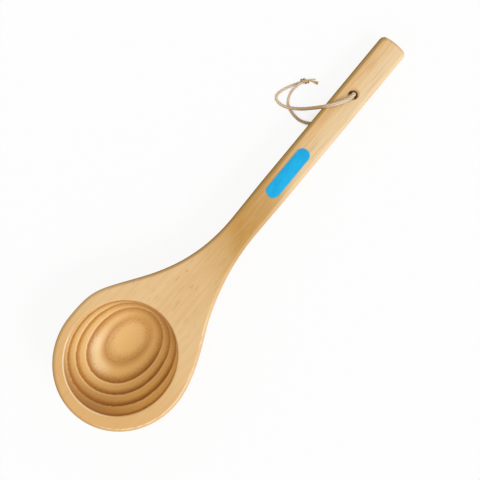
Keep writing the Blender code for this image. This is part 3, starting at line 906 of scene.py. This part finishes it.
def carving(points):
    """How far the surface is carved across the layers: 0 on the top face, 1 under the bowl."""
    x, _, z = points.T
    loss = CARVED_NECK_LOSS * eased(x, *CARVED_NECK)
    return eased(top_z(x) - z, *CARVED_DEPTHS) * (1.0 - loss)


def hole_nearness(points):
    """1 on the wall of the hanging hole, a half where its edge is broken, else 0."""
    x, y, z = points.T
    reach = np.hypot(x - (HANDLE_REACH - HOLE_FROM_END), y + HANDLE_ASIDE)
    inside = (reach < HOLE_DIAMETER / 2 + HOLE_CHAMFER * 0.2).astype(float)
    return inside * (0.5 + 0.5 * (top_z(x) - z > HOLE_CHAMFER * 1.5))


def blush(points):
    """How orange each point is, from the soft patches on the handle, the middle one of which is
    also painted shadow of the cord.
    """
    total = np.zeros(len(points))
    for (x, y), half_length, half_width, strength in BLUSHES:
        reach = np.hypot((points[:, 0] - x) / half_length, (points[:, 1] - y) / half_width)
        total += strength * (1.0 - eased(reach, *BLUSH_FADING))
    return np.minimum(total, 1.0)


def edge_places(points):
    """How far inside the outline each point is, and how far that edge faces the ladle's right."""
    loop = [Vector((*point, 0.0)) for point in outline()]
    spots = []
    for start, end in zip(loop, loop[1:] + loop[:1]):
        side = end - start
        heading = -side.x / side.length
        for i in range(math.ceil(side.length / OUTLINE_SPACING)):
            spots.append((start + side * i * OUTLINE_SPACING / side.length, heading))
    tree = KDTree(len(spots))
    for i, (spot, _) in enumerate(spots):
        tree.insert(spot, i)
    tree.balance()
    near = points[:, 2] > top_z(points[:, 0]) - EDGE_REACH
    inset = np.full(len(points), EDGE_DEPTH)
    facing = np.zeros(len(points))
    for i in np.flatnonzero(near):
        _, index, distance = tree.find((points[i][0], points[i][1], 0.0))
        inset[i] = min(distance, EDGE_DEPTH)
        facing[i] = spots[index][1]
    return inset / EDGE_DEPTH, facing


def handle_side(points):
    """-1 on the handle's left side, 1 on its right and 0 in the bowl."""
    x, y, _ = points.T
    across = np.clip(-(y + HANDLE_ASIDE) / (HANDLE_WIDTH / 2), -1.0, 1.0)
    return across * eased(x, *HANDLE_TONE_START)


def hollow_profile():
    """Rings from the bottom of the hollow to the rim: a share of the mouth's size, and a height."""
    wall_depth = BOWL_DEPTH - BASE_THICKNESS - LIP_RADIUS
    lip_share = LIP_RADIUS / MOUTH_HALF_LENGTH
    turns = np.linspace(0.0, math.pi / 2, PROFILE_STEPS)
    out = (1.0 - lip_share) * np.sin(turns) ** (2.0 / HOLLOW_FULLNESS)
    z = -LIP_RADIUS - wall_depth * np.cos(turns) ** (2.0 / HOLLOW_FULLNESS)
    steps = np.hypot(np.diff(out) * MOUTH_HALF_LENGTH, np.diff(z))
    path = np.concatenate([[0.0], np.cumsum(steps)])
    wanted = np.linspace(0.0, path[-1], HOLLOW_RINGS + 1)[1:]
    wall = np.stack([np.interp(wanted, path, out), np.interp(wanted, path, z)], axis=1)
    turns = np.linspace(0.0, math.pi / 2, LIP_RINGS + 1)[1:]
    lip_out = 1.0 - lip_share * np.cos(turns)
    lip = np.stack([lip_out, -LIP_RADIUS * (1.0 - np.sin(turns))], axis=1)
    return np.concatenate([wall, lip])


def hollow_points():
    """The hollow as rings of points, before and after its dark layers are raised, and a mask."""
    profile = hollow_profile()
    turns = math.tau * np.arange(HOLLOW_SPOKES) / HOLLOW_SPOKES
    share, z = profile[:, :1], profile[:, 1:]
    x = MOUTH_HALF_LENGTH * share * np.cos(turns)
    y = MOUTH_HALF_WIDTH * share * np.sin(turns) + MOUTH_ASIDE
    rings = np.stack([x, y, np.broadcast_to(z, x.shape)], axis=2)

    outward = np.gradient(rings, axis=0)
    around = np.roll(rings, -1, axis=1) - np.roll(rings, 1, axis=1)
    normals = np.cross(outward, around)
    normals /= np.linalg.norm(normals, axis=2, keepdims=True)
    numbers = layer_number(rings.reshape(-1, 3)).reshape(x.shape)
    height = np.mod(numbers, 1.0) ** RELIEF_SHARPNESS
    padded = np.pad(height, ((1, 1), (0, 0)), mode="edge")
    height = 0.25 * padded[:-2] + 0.5 * height + 0.25 * padded[2:]
    height = 0.25 * np.roll(height, 1, 1) + 0.5 * height + 0.25 * np.roll(height, -1, 1)
    depth = -z
    mask = eased(depth, *RELIEF_DEPTHS)
    start = eased(share, *RELIEF_STARTS)
    depths = RELIEF * np.interp(numbers, RELIEF_LAYERS, RELIEF_SHARES)
    raised = rings + normals * (depths * (height - 0.5) * mask * start)[:, :, None]
    return rings, raised, np.broadcast_to(eased(depth, 0.0, HOLLOW_TONE_DEPTH), x.shape)


def join_rings(bm, rings):
    """Walls of faces between closed rings of points, from each ring to the next."""
    for low, high in zip(rings, rings[1:]):
        for i in range(len(low)):
            j = (i + 1) % len(low)
            bm.faces.new((low[i], low[j], high[j], high[i]))


def as_mesh(bm, name):
    mesh = bpy.data.meshes.new(name)
    bm.to_mesh(mesh)
    bm.free()
    return mesh


def round_top_edge(bm, loop):
    """Rings that rise and draw in from the ladle's side to its top face."""
    rings = []
    for step in range(EDGE_SEGMENTS + 1):
        turn = math.pi / 2 * step / EDGE_SEGMENTS
        inset = EDGE_RADIUS * (1.0 - max(math.cos(turn), 0.0) ** (2.0 / EDGE_FULLNESS))
        drop = EDGE_RADIUS * (1.0 - math.sin(turn) ** (2.0 / EDGE_FULLNESS))
        ring = []
        for before, point, after in zip(loop[-1:] + loop[:-1], loop, loop[1:] + loop[:1]):
            edge = Vector(after) - Vector(before)
            at = Vector(point) + inset * Vector((edge.y, -edge.x)).normalized()
            ring.append(bm.verts.new((at.x, at.y, top_z(at.x) - drop)))
        rings.append(ring)
    join_rings(bm, rings)
    return rings[0], rings[-1]


def lay_top_face(bm, rim):
    """The top face, whose points are close enough together for its curve and the mouth's."""
    count = len(rim)
    edge_loop = [v.co.xy for v in rim]
    mouth = [Vector(p[:2]) for p in hollow_points()[0][-1]]
    flat = [Vector(p) for p in edge_loop] + mouth + top_face_points(edge_loop)
    edges = [(i, (i + 1) % count) for i in range(count)]
    edges += [(count + i, count + (i + 1) % len(mouth)) for i in range(len(mouth))]
    placed, _, faces, origins, _, _ = delaunay_2d_cdt(flat, edges, [], 1, 1e-9)
    corners = []
    for point, origin in zip(placed, origins):
        known = origin and origin[0] < count
        z = float(top_z(point.x))
        corners.append(rim[origin[0]] if known else bm.verts.new((point.x, point.y, z)))
    for face in faces:
        bm.faces.new([corners[i] for i in face])


def sweep_underside(bm, places, side):
    """The underside, as curves from the ladle's left side to its right."""
    last = len(places) - 1
    right_of = [(len(side) - i) % len(side) for i in range(last + 1)]
    right_of[last] = last
    curves = []
    for i, x in enumerate(places):
        left = side[i].co
        right = side[right_of[i]].co
        middle = (left + right) / 2
        half = (left.y - right.y) / 2
        depth = max(left.z - underside_z(x), 0.0)
        squareness = (HANDLE_SQUARENESS - 2.0) * float(eased(x, SHOULDER_X, WAIST_X))
        power = 2.0 / (2.0 + squareness)
        curve = [side[i]]
        for k in range(1, UNDERSIDE_SEGMENTS):
            turn = math.pi * k / UNDERSIDE_SEGMENTS
            across = math.copysign(abs(math.cos(turn)) ** power, math.cos(turn))
            down = math.sin(turn) ** power
            place = (middle.x, middle.y + half * across, middle.z - depth * down)
            curve.append(bm.verts.new(place))
        curve.append(side[right_of[i]])
        curves.append(curve)
    for first, second in zip(curves, curves[1:]):
        for k in range(UNDERSIDE_SEGMENTS):
            corners = dict.fromkeys((first[k], first[k + 1], second[k + 1], second[k]))
            if len(corners) > 2:
                bm.faces.new(tuple(corners))


def solid_ladle():
    """The ladle without its hollow, as a closed mesh. The mouth's outline is in its top face."""
    bm = bmesh.new()
    side, rim = round_top_edge(bm, outline())
    lay_top_face(bm, rim)
    sweep_underside(bm, stations(), side)
    bmesh.ops.remove_doubles(bm, verts=bm.verts, dist=SAME_POINT)
    bmesh.ops.dissolve_degenerate(bm, edges=bm.edges, dist=SAME_POINT)
    bmesh.ops.recalc_face_normals(bm, faces=bm.faces)
    return as_mesh(bm, "solid_ladle")


def mouth_share(x, y):
    """How far out a place is from the mouth's centre, where its outline is 1."""
    return math.hypot(x / MOUTH_HALF_LENGTH, (y - MOUTH_ASIDE) / MOUTH_HALF_WIDTH)


def top_face_points(edge_loop):
    """Points in staggered rows inside the top face, away from its edge and the mouth's outline."""
    points = []
    row = 0
    x = -BOWL_LENGTH / 2 + EDGE_RADIUS + TOP_SPACING
    while x < HANDLE_REACH - EDGE_RADIUS - TOP_SPACING / 2:
        left = side_y(x, 1) - TOP_INSET
        right = side_y(x, -1) + TOP_INSET
        y = right + (row % 2) * TOP_SPACING / 2
        while y < left:
            share = mouth_share(x, y)
            near = min((Vector((x, y)) - p).length for p in edge_loop[::6])
            if abs(share - 1.0) > MOUTH_CLEARANCE and share > 0.9 and near > TOP_CLEARANCE:
                points.append(Vector((x, y)))
            y += TOP_SPACING
        x += TOP_SPACING
        row += 1
    return points


def drill():
    """A tapered drill, square to the rim, which also breaks the edge of the hole's mouths."""
    radius = HOLE_DIAMETER / 2
    wide = radius + HOLE_CHAMFER + DRILL_BEYOND
    profile = (
        (wide - HOLE_TAPER, -HANDLE_THICKNESS - DRILL_BEYOND),
        (radius - HOLE_TAPER, -HANDLE_THICKNESS + HOLE_CHAMFER),
        (radius, -HOLE_CHAMFER * 2.0),
        (radius, -HOLE_CHAMFER),
        (wide, DRILL_BEYOND),
    )
    turns = [math.tau * i / HOLE_SEGMENTS for i in range(HOLE_SEGMENTS)]
    bm = bmesh.new()
    rings = [
        [bm.verts.new((reach * math.cos(turn), reach * math.sin(turn), z)) for turn in turns]
        for reach, z in profile
    ]
    join_rings(bm, rings)
    bm.faces.new(rings[0][::-1])
    bm.faces.new(rings[-1])
    x = HANDLE_REACH - HOLE_FROM_END
    bm.transform(Matrix.Translation((x, -HANDLE_ASIDE, float(top_z(x)))))
    return as_mesh(bm, "drill")


def drilled(mesh):
    """The mesh with the hanging hole cut through it."""
    body = placed_object("drilled", mesh)
    bit = placed_object("drill", drill())
    modifier = body.modifiers.new("hole", "BOOLEAN")
    modifier.object = bit
    modifier.operation = "DIFFERENCE"
    modifier.solver = "EXACT"
    graph = bpy.context.evaluated_depsgraph_get()
    cut = bpy.data.meshes.new_from_object(body.evaluated_get(graph), depsgraph=graph)
    bpy.data.objects.remove(body)
    bpy.data.objects.remove(bit)
    return cut


def resting_place():
    return Matrix.Translation(RESTING_PLACE) @ Matrix.Rotation(RESTING_TILT, 4, "Y")


def open_mouth(bm):
    cover = []
    for face in bm.faces:
        centre = face.calc_center_median()
        if mouth_share(centre.x, centre.y) < 1.0 and centre.z > RIM_PLANE:
            cover.append(face)
    bmesh.ops.delete(bm, geom=cover, context="FACES")


def sand_resting_flats(bm):
    """Cuts the ladle off level where it touches the table."""
    to_table = resting_place().inverted()
    cut = bmesh.ops.bisect_plane(
        bm,
        geom=bm.verts[:] + bm.edges[:] + bm.faces[:],
        dist=SAME_POINT,
        plane_co=to_table @ Vector((0.0, 0.0, 0.0)),
        plane_no=to_table.to_3x3() @ Vector((0.0, 0.0, 1.0)),
        clear_inner=True,
    )
    rims = [e for e in cut["geom_cut"] if isinstance(e, bmesh.types.BMEdge)]
    bmesh.ops.edgeloop_fill(bm, edges=rims)


def add_hollow(bm):
    """Adds the hollow, and returns all points as if its layers weren't raised, and its mask."""
    plain, raised, mask = hollow_points()
    ring_count, spokes, _ = raised.shape
    first = len(bm.verts)
    corners = [bm.verts.new(point) for point in raised.reshape(-1, 3)]
    low = -BOWL_DEPTH + BASE_THICKNESS
    bottom = bm.verts.new((0.0, MOUTH_ASIDE, low - RELIEF * 0.5))
    for i in range(ring_count - 1):
        for j in range(spokes):
            k = (j + 1) % spokes
            inner, outer = i * spokes, (i + 1) * spokes
            bm.faces.new(
                (corners[inner + j], corners[outer + j], corners[outer + k], corners[inner + k])
            )
    for j in range(spokes):
        bm.faces.new((bottom, corners[j], corners[(j + 1) % spokes]))

    hollow_part = slice(first, first + len(corners))
    bm.verts.ensure_lookup_table()
    points = np.array([v.co for v in bm.verts])
    points[hollow_part] = plain.reshape(-1, 3)
    hollow = np.zeros(len(points))
    hollow[hollow_part] = mask.reshape(-1)
    hollow[-1] = 1.0
    outside = hollow == 0.0
    outside[hollow_part] = False
    return points, hollow, outside


def towards(points, side):
    """The cosine of the angle between a side and the way to each point from the mouth's centre."""
    x, y = points[:, 0], points[:, 1] - MOUTH_ASIDE
    return (x * side[0] + y * side[1]) / (np.hypot(x, y) + 1e-9)


def wood_values(points, hollow, outside):
    """What the pine's material reads from the mesh, by name."""
    x, y, z = points.T
    # How far each point lies towards the hollow's shaded side, which drives its painted shade
    shaded = (x * SHADED_SIDE[0] + (y - MOUTH_ASIDE) * SHADED_SIDE[1]) / SHADED_REACH
    # Painted highlight: a pale line on the lip, only on the side of the mouth that the key light
    # reaches
    lip = np.where(outside | (z > RIM_PLANE), 0.0, eased(z, *LIP_HEIGHTS))
    inset, facing = edge_places(points)
    return {
        "layer": layer_number(points),
        "line": line_number(points),
        "warm": warmth(points),
        "hollow": hollow,
        "carved": np.where(outside, carving(points), hollow),
        "drilled": hole_nearness(points),
        "station": x,
        "blush": blush(points),
        "inset": inset,
        "drop": np.maximum(top_z(x) - z, 0.0) / EDGE_DEPTH,
        "facing": facing,
        "side": handle_side(points),
        "shaded": np.clip((shaded + 1.0) / 2.0, 0.0, 1.0) * hollow,
        "lip": lip * eased(towards(points, LIP_SIDE), *LIP_SPREAD),
        "sheen": eased(towards(points, SHEEN_SIDE), *SHEEN_SPREAD) * hollow,
    }


def ladle_mesh():
    """The whole ladle on the table, with the wood's layers and tones as attributes."""
    bm = bmesh.new()
    bm.from_mesh(drilled(solid_ladle()))
    open_mouth(bm)
    sand_resting_flats(bm)
    for name, values in wood_values(*add_hollow(bm)).items():
        store = bm.verts.layers.float.new(name)
        for vertex, value in zip(bm.verts, values):
            vertex[store] = value
    bmesh.ops.remove_doubles(bm, verts=bm.verts, dist=SAME_POINT_AT_MOUTH)
    loose = [v for v in bm.verts if not v.link_faces]
    bmesh.ops.delete(bm, geom=loose, context="VERTS")
    mesh = as_mesh(bm, "ladle")

    mesh.shade_smooth()
    mesh.set_sharp_from_angle(angle=SHARP_ANGLE)
    normals = np.zeros(len(mesh.vertices) * 3, np.float32)
    mesh.vertex_normals.foreach_get("vector", normals)
    store_values(mesh, "end_grain", np.abs(normals[::3]))
    mesh.transform(resting_place())
    return mesh


def make_ladle():
    finished_piece("pine_ladle", ladle_mesh(), pine_material(), "ladle", "ladle_body")


def pine_material():
    """Pine whose layers, tones and brush marks follow the values that its mesh carries."""
    material, tree = material_tree("brushed_pine")
    between = tree.between
    given = tree.attribute
    place = tree.add("ShaderNodeTexCoord", output="Object")
    turn = {"Vector": place, "Rotation": (0.0, -RESTING_TILT, 0.0)}
    wood = tree.add("ShaderNodeMapping", {"vector_type": "POINT"}, turn)
    streaks = tree.noise(wood, (22.0, 420.0, 200.0))
    lines = tree.noise(wood, (9.0, 900.0, 420.0))
    fibres = tree.noise(wood, (120.0, 3000.0, 1500.0), 2.0, 0.6)
    patches = tree.noise(wood, (16.0, 60.0, 50.0))
    ducts = tree.noise(wood, (110.0, 1300.0, 700.0), 0.0)
    pits = tree.noise(wood, (900.0, 1000.0, 1000.0), 1.0)

    layer, hollow, carved, shaded, station = map(
        given, ("layer", "hollow", "carved", "shaded", "station")
    )
    side, inset, facing, drop, drilled = map(given, ("side", "inset", "facing", "drop", "drilled"))
    on_top = 1.0 - hollow
    on_handle = between(station, 0.11, 0.20) * on_top

    # Growth layers, each from pale early wood to dark late wood, or faint lines on the top face
    wobble = (streaks - 0.5) * 0.08 + (pits - 0.5) * 0.02
    through = (layer + wobble).fraction()
    dark = between(through, 0.36, 0.92).at_least(1.0 - through / 0.03)
    along = (given("line") + (lines - 0.5) * 0.5).fraction()
    faint = between(along, 0.35, 0.97).at_least(1.0 - along / 0.10)
    soft = between(layer, 4.9, 5.6, 0.55, 0.95)
    share = dark * carved * soft + faint * (1.0 - carved) * (0.09 + side * side * 0.10)
    neckward = between(station, 0.008, 0.042) * hollow
    # Inside the hollow each tone has a lit and a shaded copy, mixed towards the shaded side as
    # painted shade, and is more saturated than on top, partly its own tone and partly painted
    # bounce light
    early_inside = tree.mixed(shaded, srgb(236, 200, 138), srgb(238, 187, 104))
    late_inside = tree.mixed(shaded, srgb(198, 141, 74), srgb(172, 109, 42))
    late_inside = tree.mixed(neckward * 0.75, late_inside, srgb(222, 168, 94))
    early = tree.mixed(hollow, srgb(238, 202, 150), early_inside)
    late = tree.mixed(hollow, srgb(188, 130, 66), late_inside)

    # The ring round the hollow's floor; the dark crest of each step, its late wood with painted
    # shade that deepens towards the shaded side; the pale foot of each step, its early wood with a
    # painted highlight that is stronger away from the shaded side; and a painted sheen on the lit
    # part of the floor
    fading = between(layer, 4.98, 5.0) * between(layer, 5.30, 5.0) * hollow
    # Painted shade: each step's dark crest, its late wood darkened more towards the shaded side
    crest = between(through, 0.78, 0.97).at_least(1.0 - through / 0.02) * hollow
    crest = crest * between(layer, 5.0, 5.9) * (0.09 + shaded * 0.26) * (1.0 - neckward * 0.7)
    # Painted highlight: each step's pale foot, its early wood lightened more away from the shaded
    # side
    foot = between(through, 0.03, 0.06) * between(through, 0.24, 0.08) * hollow
    foot = foot * between(layer, 5.2, 6.0) * (0.42 - shaded * 0.2)
    # Painted sheen: a pale patch, a painted highlight, on the lit part of the hollow's floor
    sheen = given("sheen") * between(layer, 5.02, 5.35) * between(layer, 5.92, 5.5)

    # The top face's tones and brush marks, with painted light on the handle's right half and
    # painted shade on its left half
    ruddy = between(station, 0.055, -0.050) * on_top
    orange = between(patches, 0.46, 0.66) * 0.25
    # The blushes: the wood's orange tone, and under the cord also the cord's painted shadow
    orange = orange.at_least(given("blush") * 0.75) * on_top
    # Painted light: the handle's right half is paler, as the light falls from the right
    pale = between(side, -0.7, 0.8) * on_handle
    brushed = on_top * (0.26 - carved * 0.12) + on_handle * 0.74
    dull = between(streaks, 0.50, 0.70) * (0.02 + brushed * 0.10)
    bright = between(streaks, 0.46, 0.30) * (0.02 + brushed * 0.14)

    # The edge: painted shade on the left, which faces away from the key light, as a tan strip with
    # a dark arris, and painted light on the right as a pale strip with a painted highlight line
    edge = between(drop, 0.50, 0.85, 1.0, 0.0) * on_top
    left = between(facing, -0.15, -0.55) * edge
    right = between(facing, 0.15, 0.60) * edge
    strip = between(inset, 0.48, 0.36)
    wide_strip = between(inset, 0.60, 0.52)
    arris = between(inset, 0.24, 0.06)
    neck = between(station, 0.030, 0.080)
    line = between(inset, 0.25, 0.31) * between(inset, 0.43, 0.37)
    line = line * between(streaks, 0.62, 0.48) * between(station, 0.085, 0.060)
    line = line * between(drop, 0.10, 0.35, 1.0, 0.0)

    # Resin ducts in the neck, pits in the hollow, and the hanging hole with its broken edge
    in_neck = between(station, 0.035, 0.055) * between(station, 0.125, 0.095)
    dashes = between(ducts, 0.74, 0.80) * on_top * (0.05 + in_neck * 0.80)
    speckle = between(pits, 0.58, 0.66) * hollow * between(through, 0.2, 0.8)
    broken = between(drilled, 0.0, 0.5) * between(drilled, 1.0, 0.5)
    wall = between(drilled, 0.5, 1.0)

    colour = tree.coated(
        tree.mixed(share, early, late),
        (fading * 0.62, late),
        (crest, srgb(118, 64, 18)),
        (foot, srgb(255, 232, 186)),
        (sheen * 0.48, srgb(255, 234, 190)),
        (ruddy * 0.85, srgb(228, 178, 114)),
        (orange, srgb(224, 172, 112)),
        (pale * 0.70, srgb(244, 220, 181)),
        # Painted shade: the handle's left half is tanner
        (between(side, -0.1, -0.9) * 0.45, srgb(218, 172, 114)),
        (given("warm") * on_top, srgb(198, 150, 80)),
        (dull, srgb(204, 150, 86)),
        (bright, srgb(246, 220, 177)),
        (between(lines, 0.54, 0.66) * brushed * 0.28, srgb(196, 140, 78)),
        (between(lines, 0.44, 0.34) * brushed * 0.22, srgb(250, 228, 188)),
        # Painted shade along the left edge, painted light along the right edge, and a painted
        # highlight line near the right edge of the bowl
        (left * strip * (0.25 + neck * 0.35 + side * 0.3), srgb(196, 148, 82)),
        (left * wide_strip * (side * -0.88), srgb(180, 144, 78)),
        (right * strip * (0.2 + side * 0.1), srgb(240, 212, 169)),
        (left * arris * (0.42 + neck * 0.38), srgb(148, 98, 32)),
        (right * line * 0.60, srgb(255, 238, 208)),
        # Painted highlight on the lip
        (given("lip") * 0.70, srgb(255, 234, 196)),
        (between(given("end_grain"), 0.3, 1.0) * 0.5, srgb(176, 118, 58)),
        (dashes * 0.5, srgb(176, 112, 50)),
        (speckle * 0.4, srgb(136, 82, 32)),
        (broken * 0.6, srgb(248, 218, 172)),
        (wall, srgb(238, 198, 138)),
    )
    shade = between(fibres, 0.2, 0.8, 0.97, 1.02)
    grey = tree.add("ShaderNodeCombineXYZ", None, {0: shade, 1: shade, 2: shade})
    surface = {
        "Base Color": tree.mixed(1.0, colour, grey, "MULTIPLY"),
        "Roughness": 0.42 + streaks * 0.14 + wall * 0.4,
        "Specular IOR Level": 0.1,
        "Coat Weight": hollow * between(layer, 7.2, 5.6) * between(shaded, 0.60, 0.30) * 0.4,
        "Coat Roughness": 0.26,
    }
    relief = streaks * 0.3 + lines * 0.3 + fibres * 0.35 - dashes * 0.6 - speckle * 0.5
    finish_surface(tree, surface, relief, 0.4, 0.00006)
    return material


def cord_material(name, clean_stretches):
    """Waxed tan cord. The stretches at the hole and before the knot may be paler than the rest."""
    material, tree = material_tree(name)
    between = tree.between
    along = tree.attribute("along")
    bleached = tree.attribute("bleached")
    reach = tree.attribute("reach", "Vector")
    crown = tree.vector("LENGTH", reach, output="Value")
    shade_facing = tree.vector("DOT_PRODUCT", reach, CORD_SHADE_SIDE, "Value")
    x_side = tree.add("ShaderNodeSeparateXYZ", None, {0: tree.attribute("side", "Vector")})
    y_side = Value(tree, x_side.socket.node.outputs["Y"])
    fibre = tree.add("ShaderNodeCombineXYZ", None, {0: along, 1: x_side, 2: y_side})
    threads = tree.noise(fibre, (900.0, 5.0, 5.0), 3.0, 0.6)
    place = tree.add("ShaderNodeTexCoord", output="Object")
    blotches = tree.noise(place, (160.0, 160.0, 160.0))

    grain = between(threads, 0.3, 0.7)
    colour = tree.mixed(grain, srgb(198, 162, 114), srgb(232, 202, 158))
    if clean_stretches:
        clean = tree.mixed(grain, srgb(226, 198, 160), srgb(252, 238, 214))
        near_hole = between(along, 0.028, 0.042, 1.0, 0.0)
        pale = near_hole.at_least(between(along, 0.060, 0.082) * 0.90)
        colour = tree.mixed(pale, colour, clean)
    # Painted shade on the cord's side away from the light, weaker further along the cord and on
    # bleached parts
    painted_cord_shade = between(shade_facing, 0.1, 0.95) * between(along, 0.072, 0.090, 0.65, 0.35)
    colour = tree.coated(
        colour,
        (between(blotches, 0.4, 0.7) * 0.25, srgb(194, 154, 104)),
        (bleached * 0.9, srgb(246, 220, 174)),
        # Painted shade in the grooves between the plies
        (between(crown, 0.80, 0.98, 1.0, 0.0) * 0.70, srgb(128, 92, 54)),
        (painted_cord_shade * (1.0 - bleached * 0.5), srgb(128, 100, 62)),
        (tree.attribute("tip"), srgb(204, 146, 78)),
        # Painted shade low on the knot
        (tree.attribute("knot_shade") * 0.90, srgb(104, 72, 30)),
    )
    surface = {
        "Base Color": colour,
        "Roughness": 0.62 + threads * 0.2,
        "Specular IOR Level": 0.3,
    }
    finish_surface(tree, surface, threads, 0.7, 0.00012)
    return material


# The sticker

def label_outline(inset):
    """Points round the sticker's edge, drawn in by inset."""
    radius = LABEL_WIDTH / 2
    straight = LABEL_LENGTH / 2 - radius
    points = []
    for end in (1, -1):
        for i in range(LABEL_END_SEGMENTS + 1):
            turn = math.pi * i / LABEL_END_SEGMENTS - math.pi / 2
            reach = radius - inset
            across = reach * math.sin(turn) * end
            points.append((end * (straight + reach * math.cos(turn)), across))
    return points


def label_mesh():
    """A thin film with round ends, laid on the handle's top face, with a softly turned edge."""
    x = HANDLE_REACH - LABEL_FROM_END - LABEL_LENGTH / 2
    bm = bmesh.new()
    rings = [
        [bm.verts.new((along, across, height)) for along, across in label_outline(inset)]
        for height, inset in LABEL_HEIGHTS
    ]
    join_rings(bm, rings)
    bm.faces.new(rings[0][::-1])
    bm.faces.new(rings[-1])
    place = Matrix.Translation((x, -HANDLE_ASIDE, float(top_z(x))))
    bm.transform(resting_place() @ place @ Matrix.Rotation(-slope_angle(top_z, x), 4, "Y"))
    bmesh.ops.recalc_face_normals(bm, faces=bm.faces)
    mesh = as_mesh(bm, "label")
    mesh.shade_smooth()
    mesh.set_sharp_from_angle(angle=LABEL_SHARP_ANGLE)
    return mesh


def film_material():
    """Blue film that lies in faint waves on the wood."""
    material, tree = material_tree("blue_film")
    place = tree.add("ShaderNodeTexCoord", output="Object")
    waves = tree.noise(place, (90.0, 160.0, 90.0))
    specks = tree.noise(place, (2600.0, 2600.0, 2600.0), 1.0)
    surface = {
        "Base Color": tree.mixed(
            tree.between(waves, 0.3, 0.7), srgb(0, 168, 226), srgb(10, 180, 234)
        ),
        "Roughness": 0.30 + waves * 0.12,
        "Specular IOR Level": 0.3,
    }
    finish_surface(tree, surface, waves + specks * 0.06, 0.25, 0.0001)
    return material


def make_label():
    finished_piece("sticker", label_mesh(), film_material(), "ladle", "label")


bpy.context.scene.view_settings.view_transform = "Standard"
place_camera()
light_studio()
lay_floor()
make_cord()
make_ladle()
make_label()
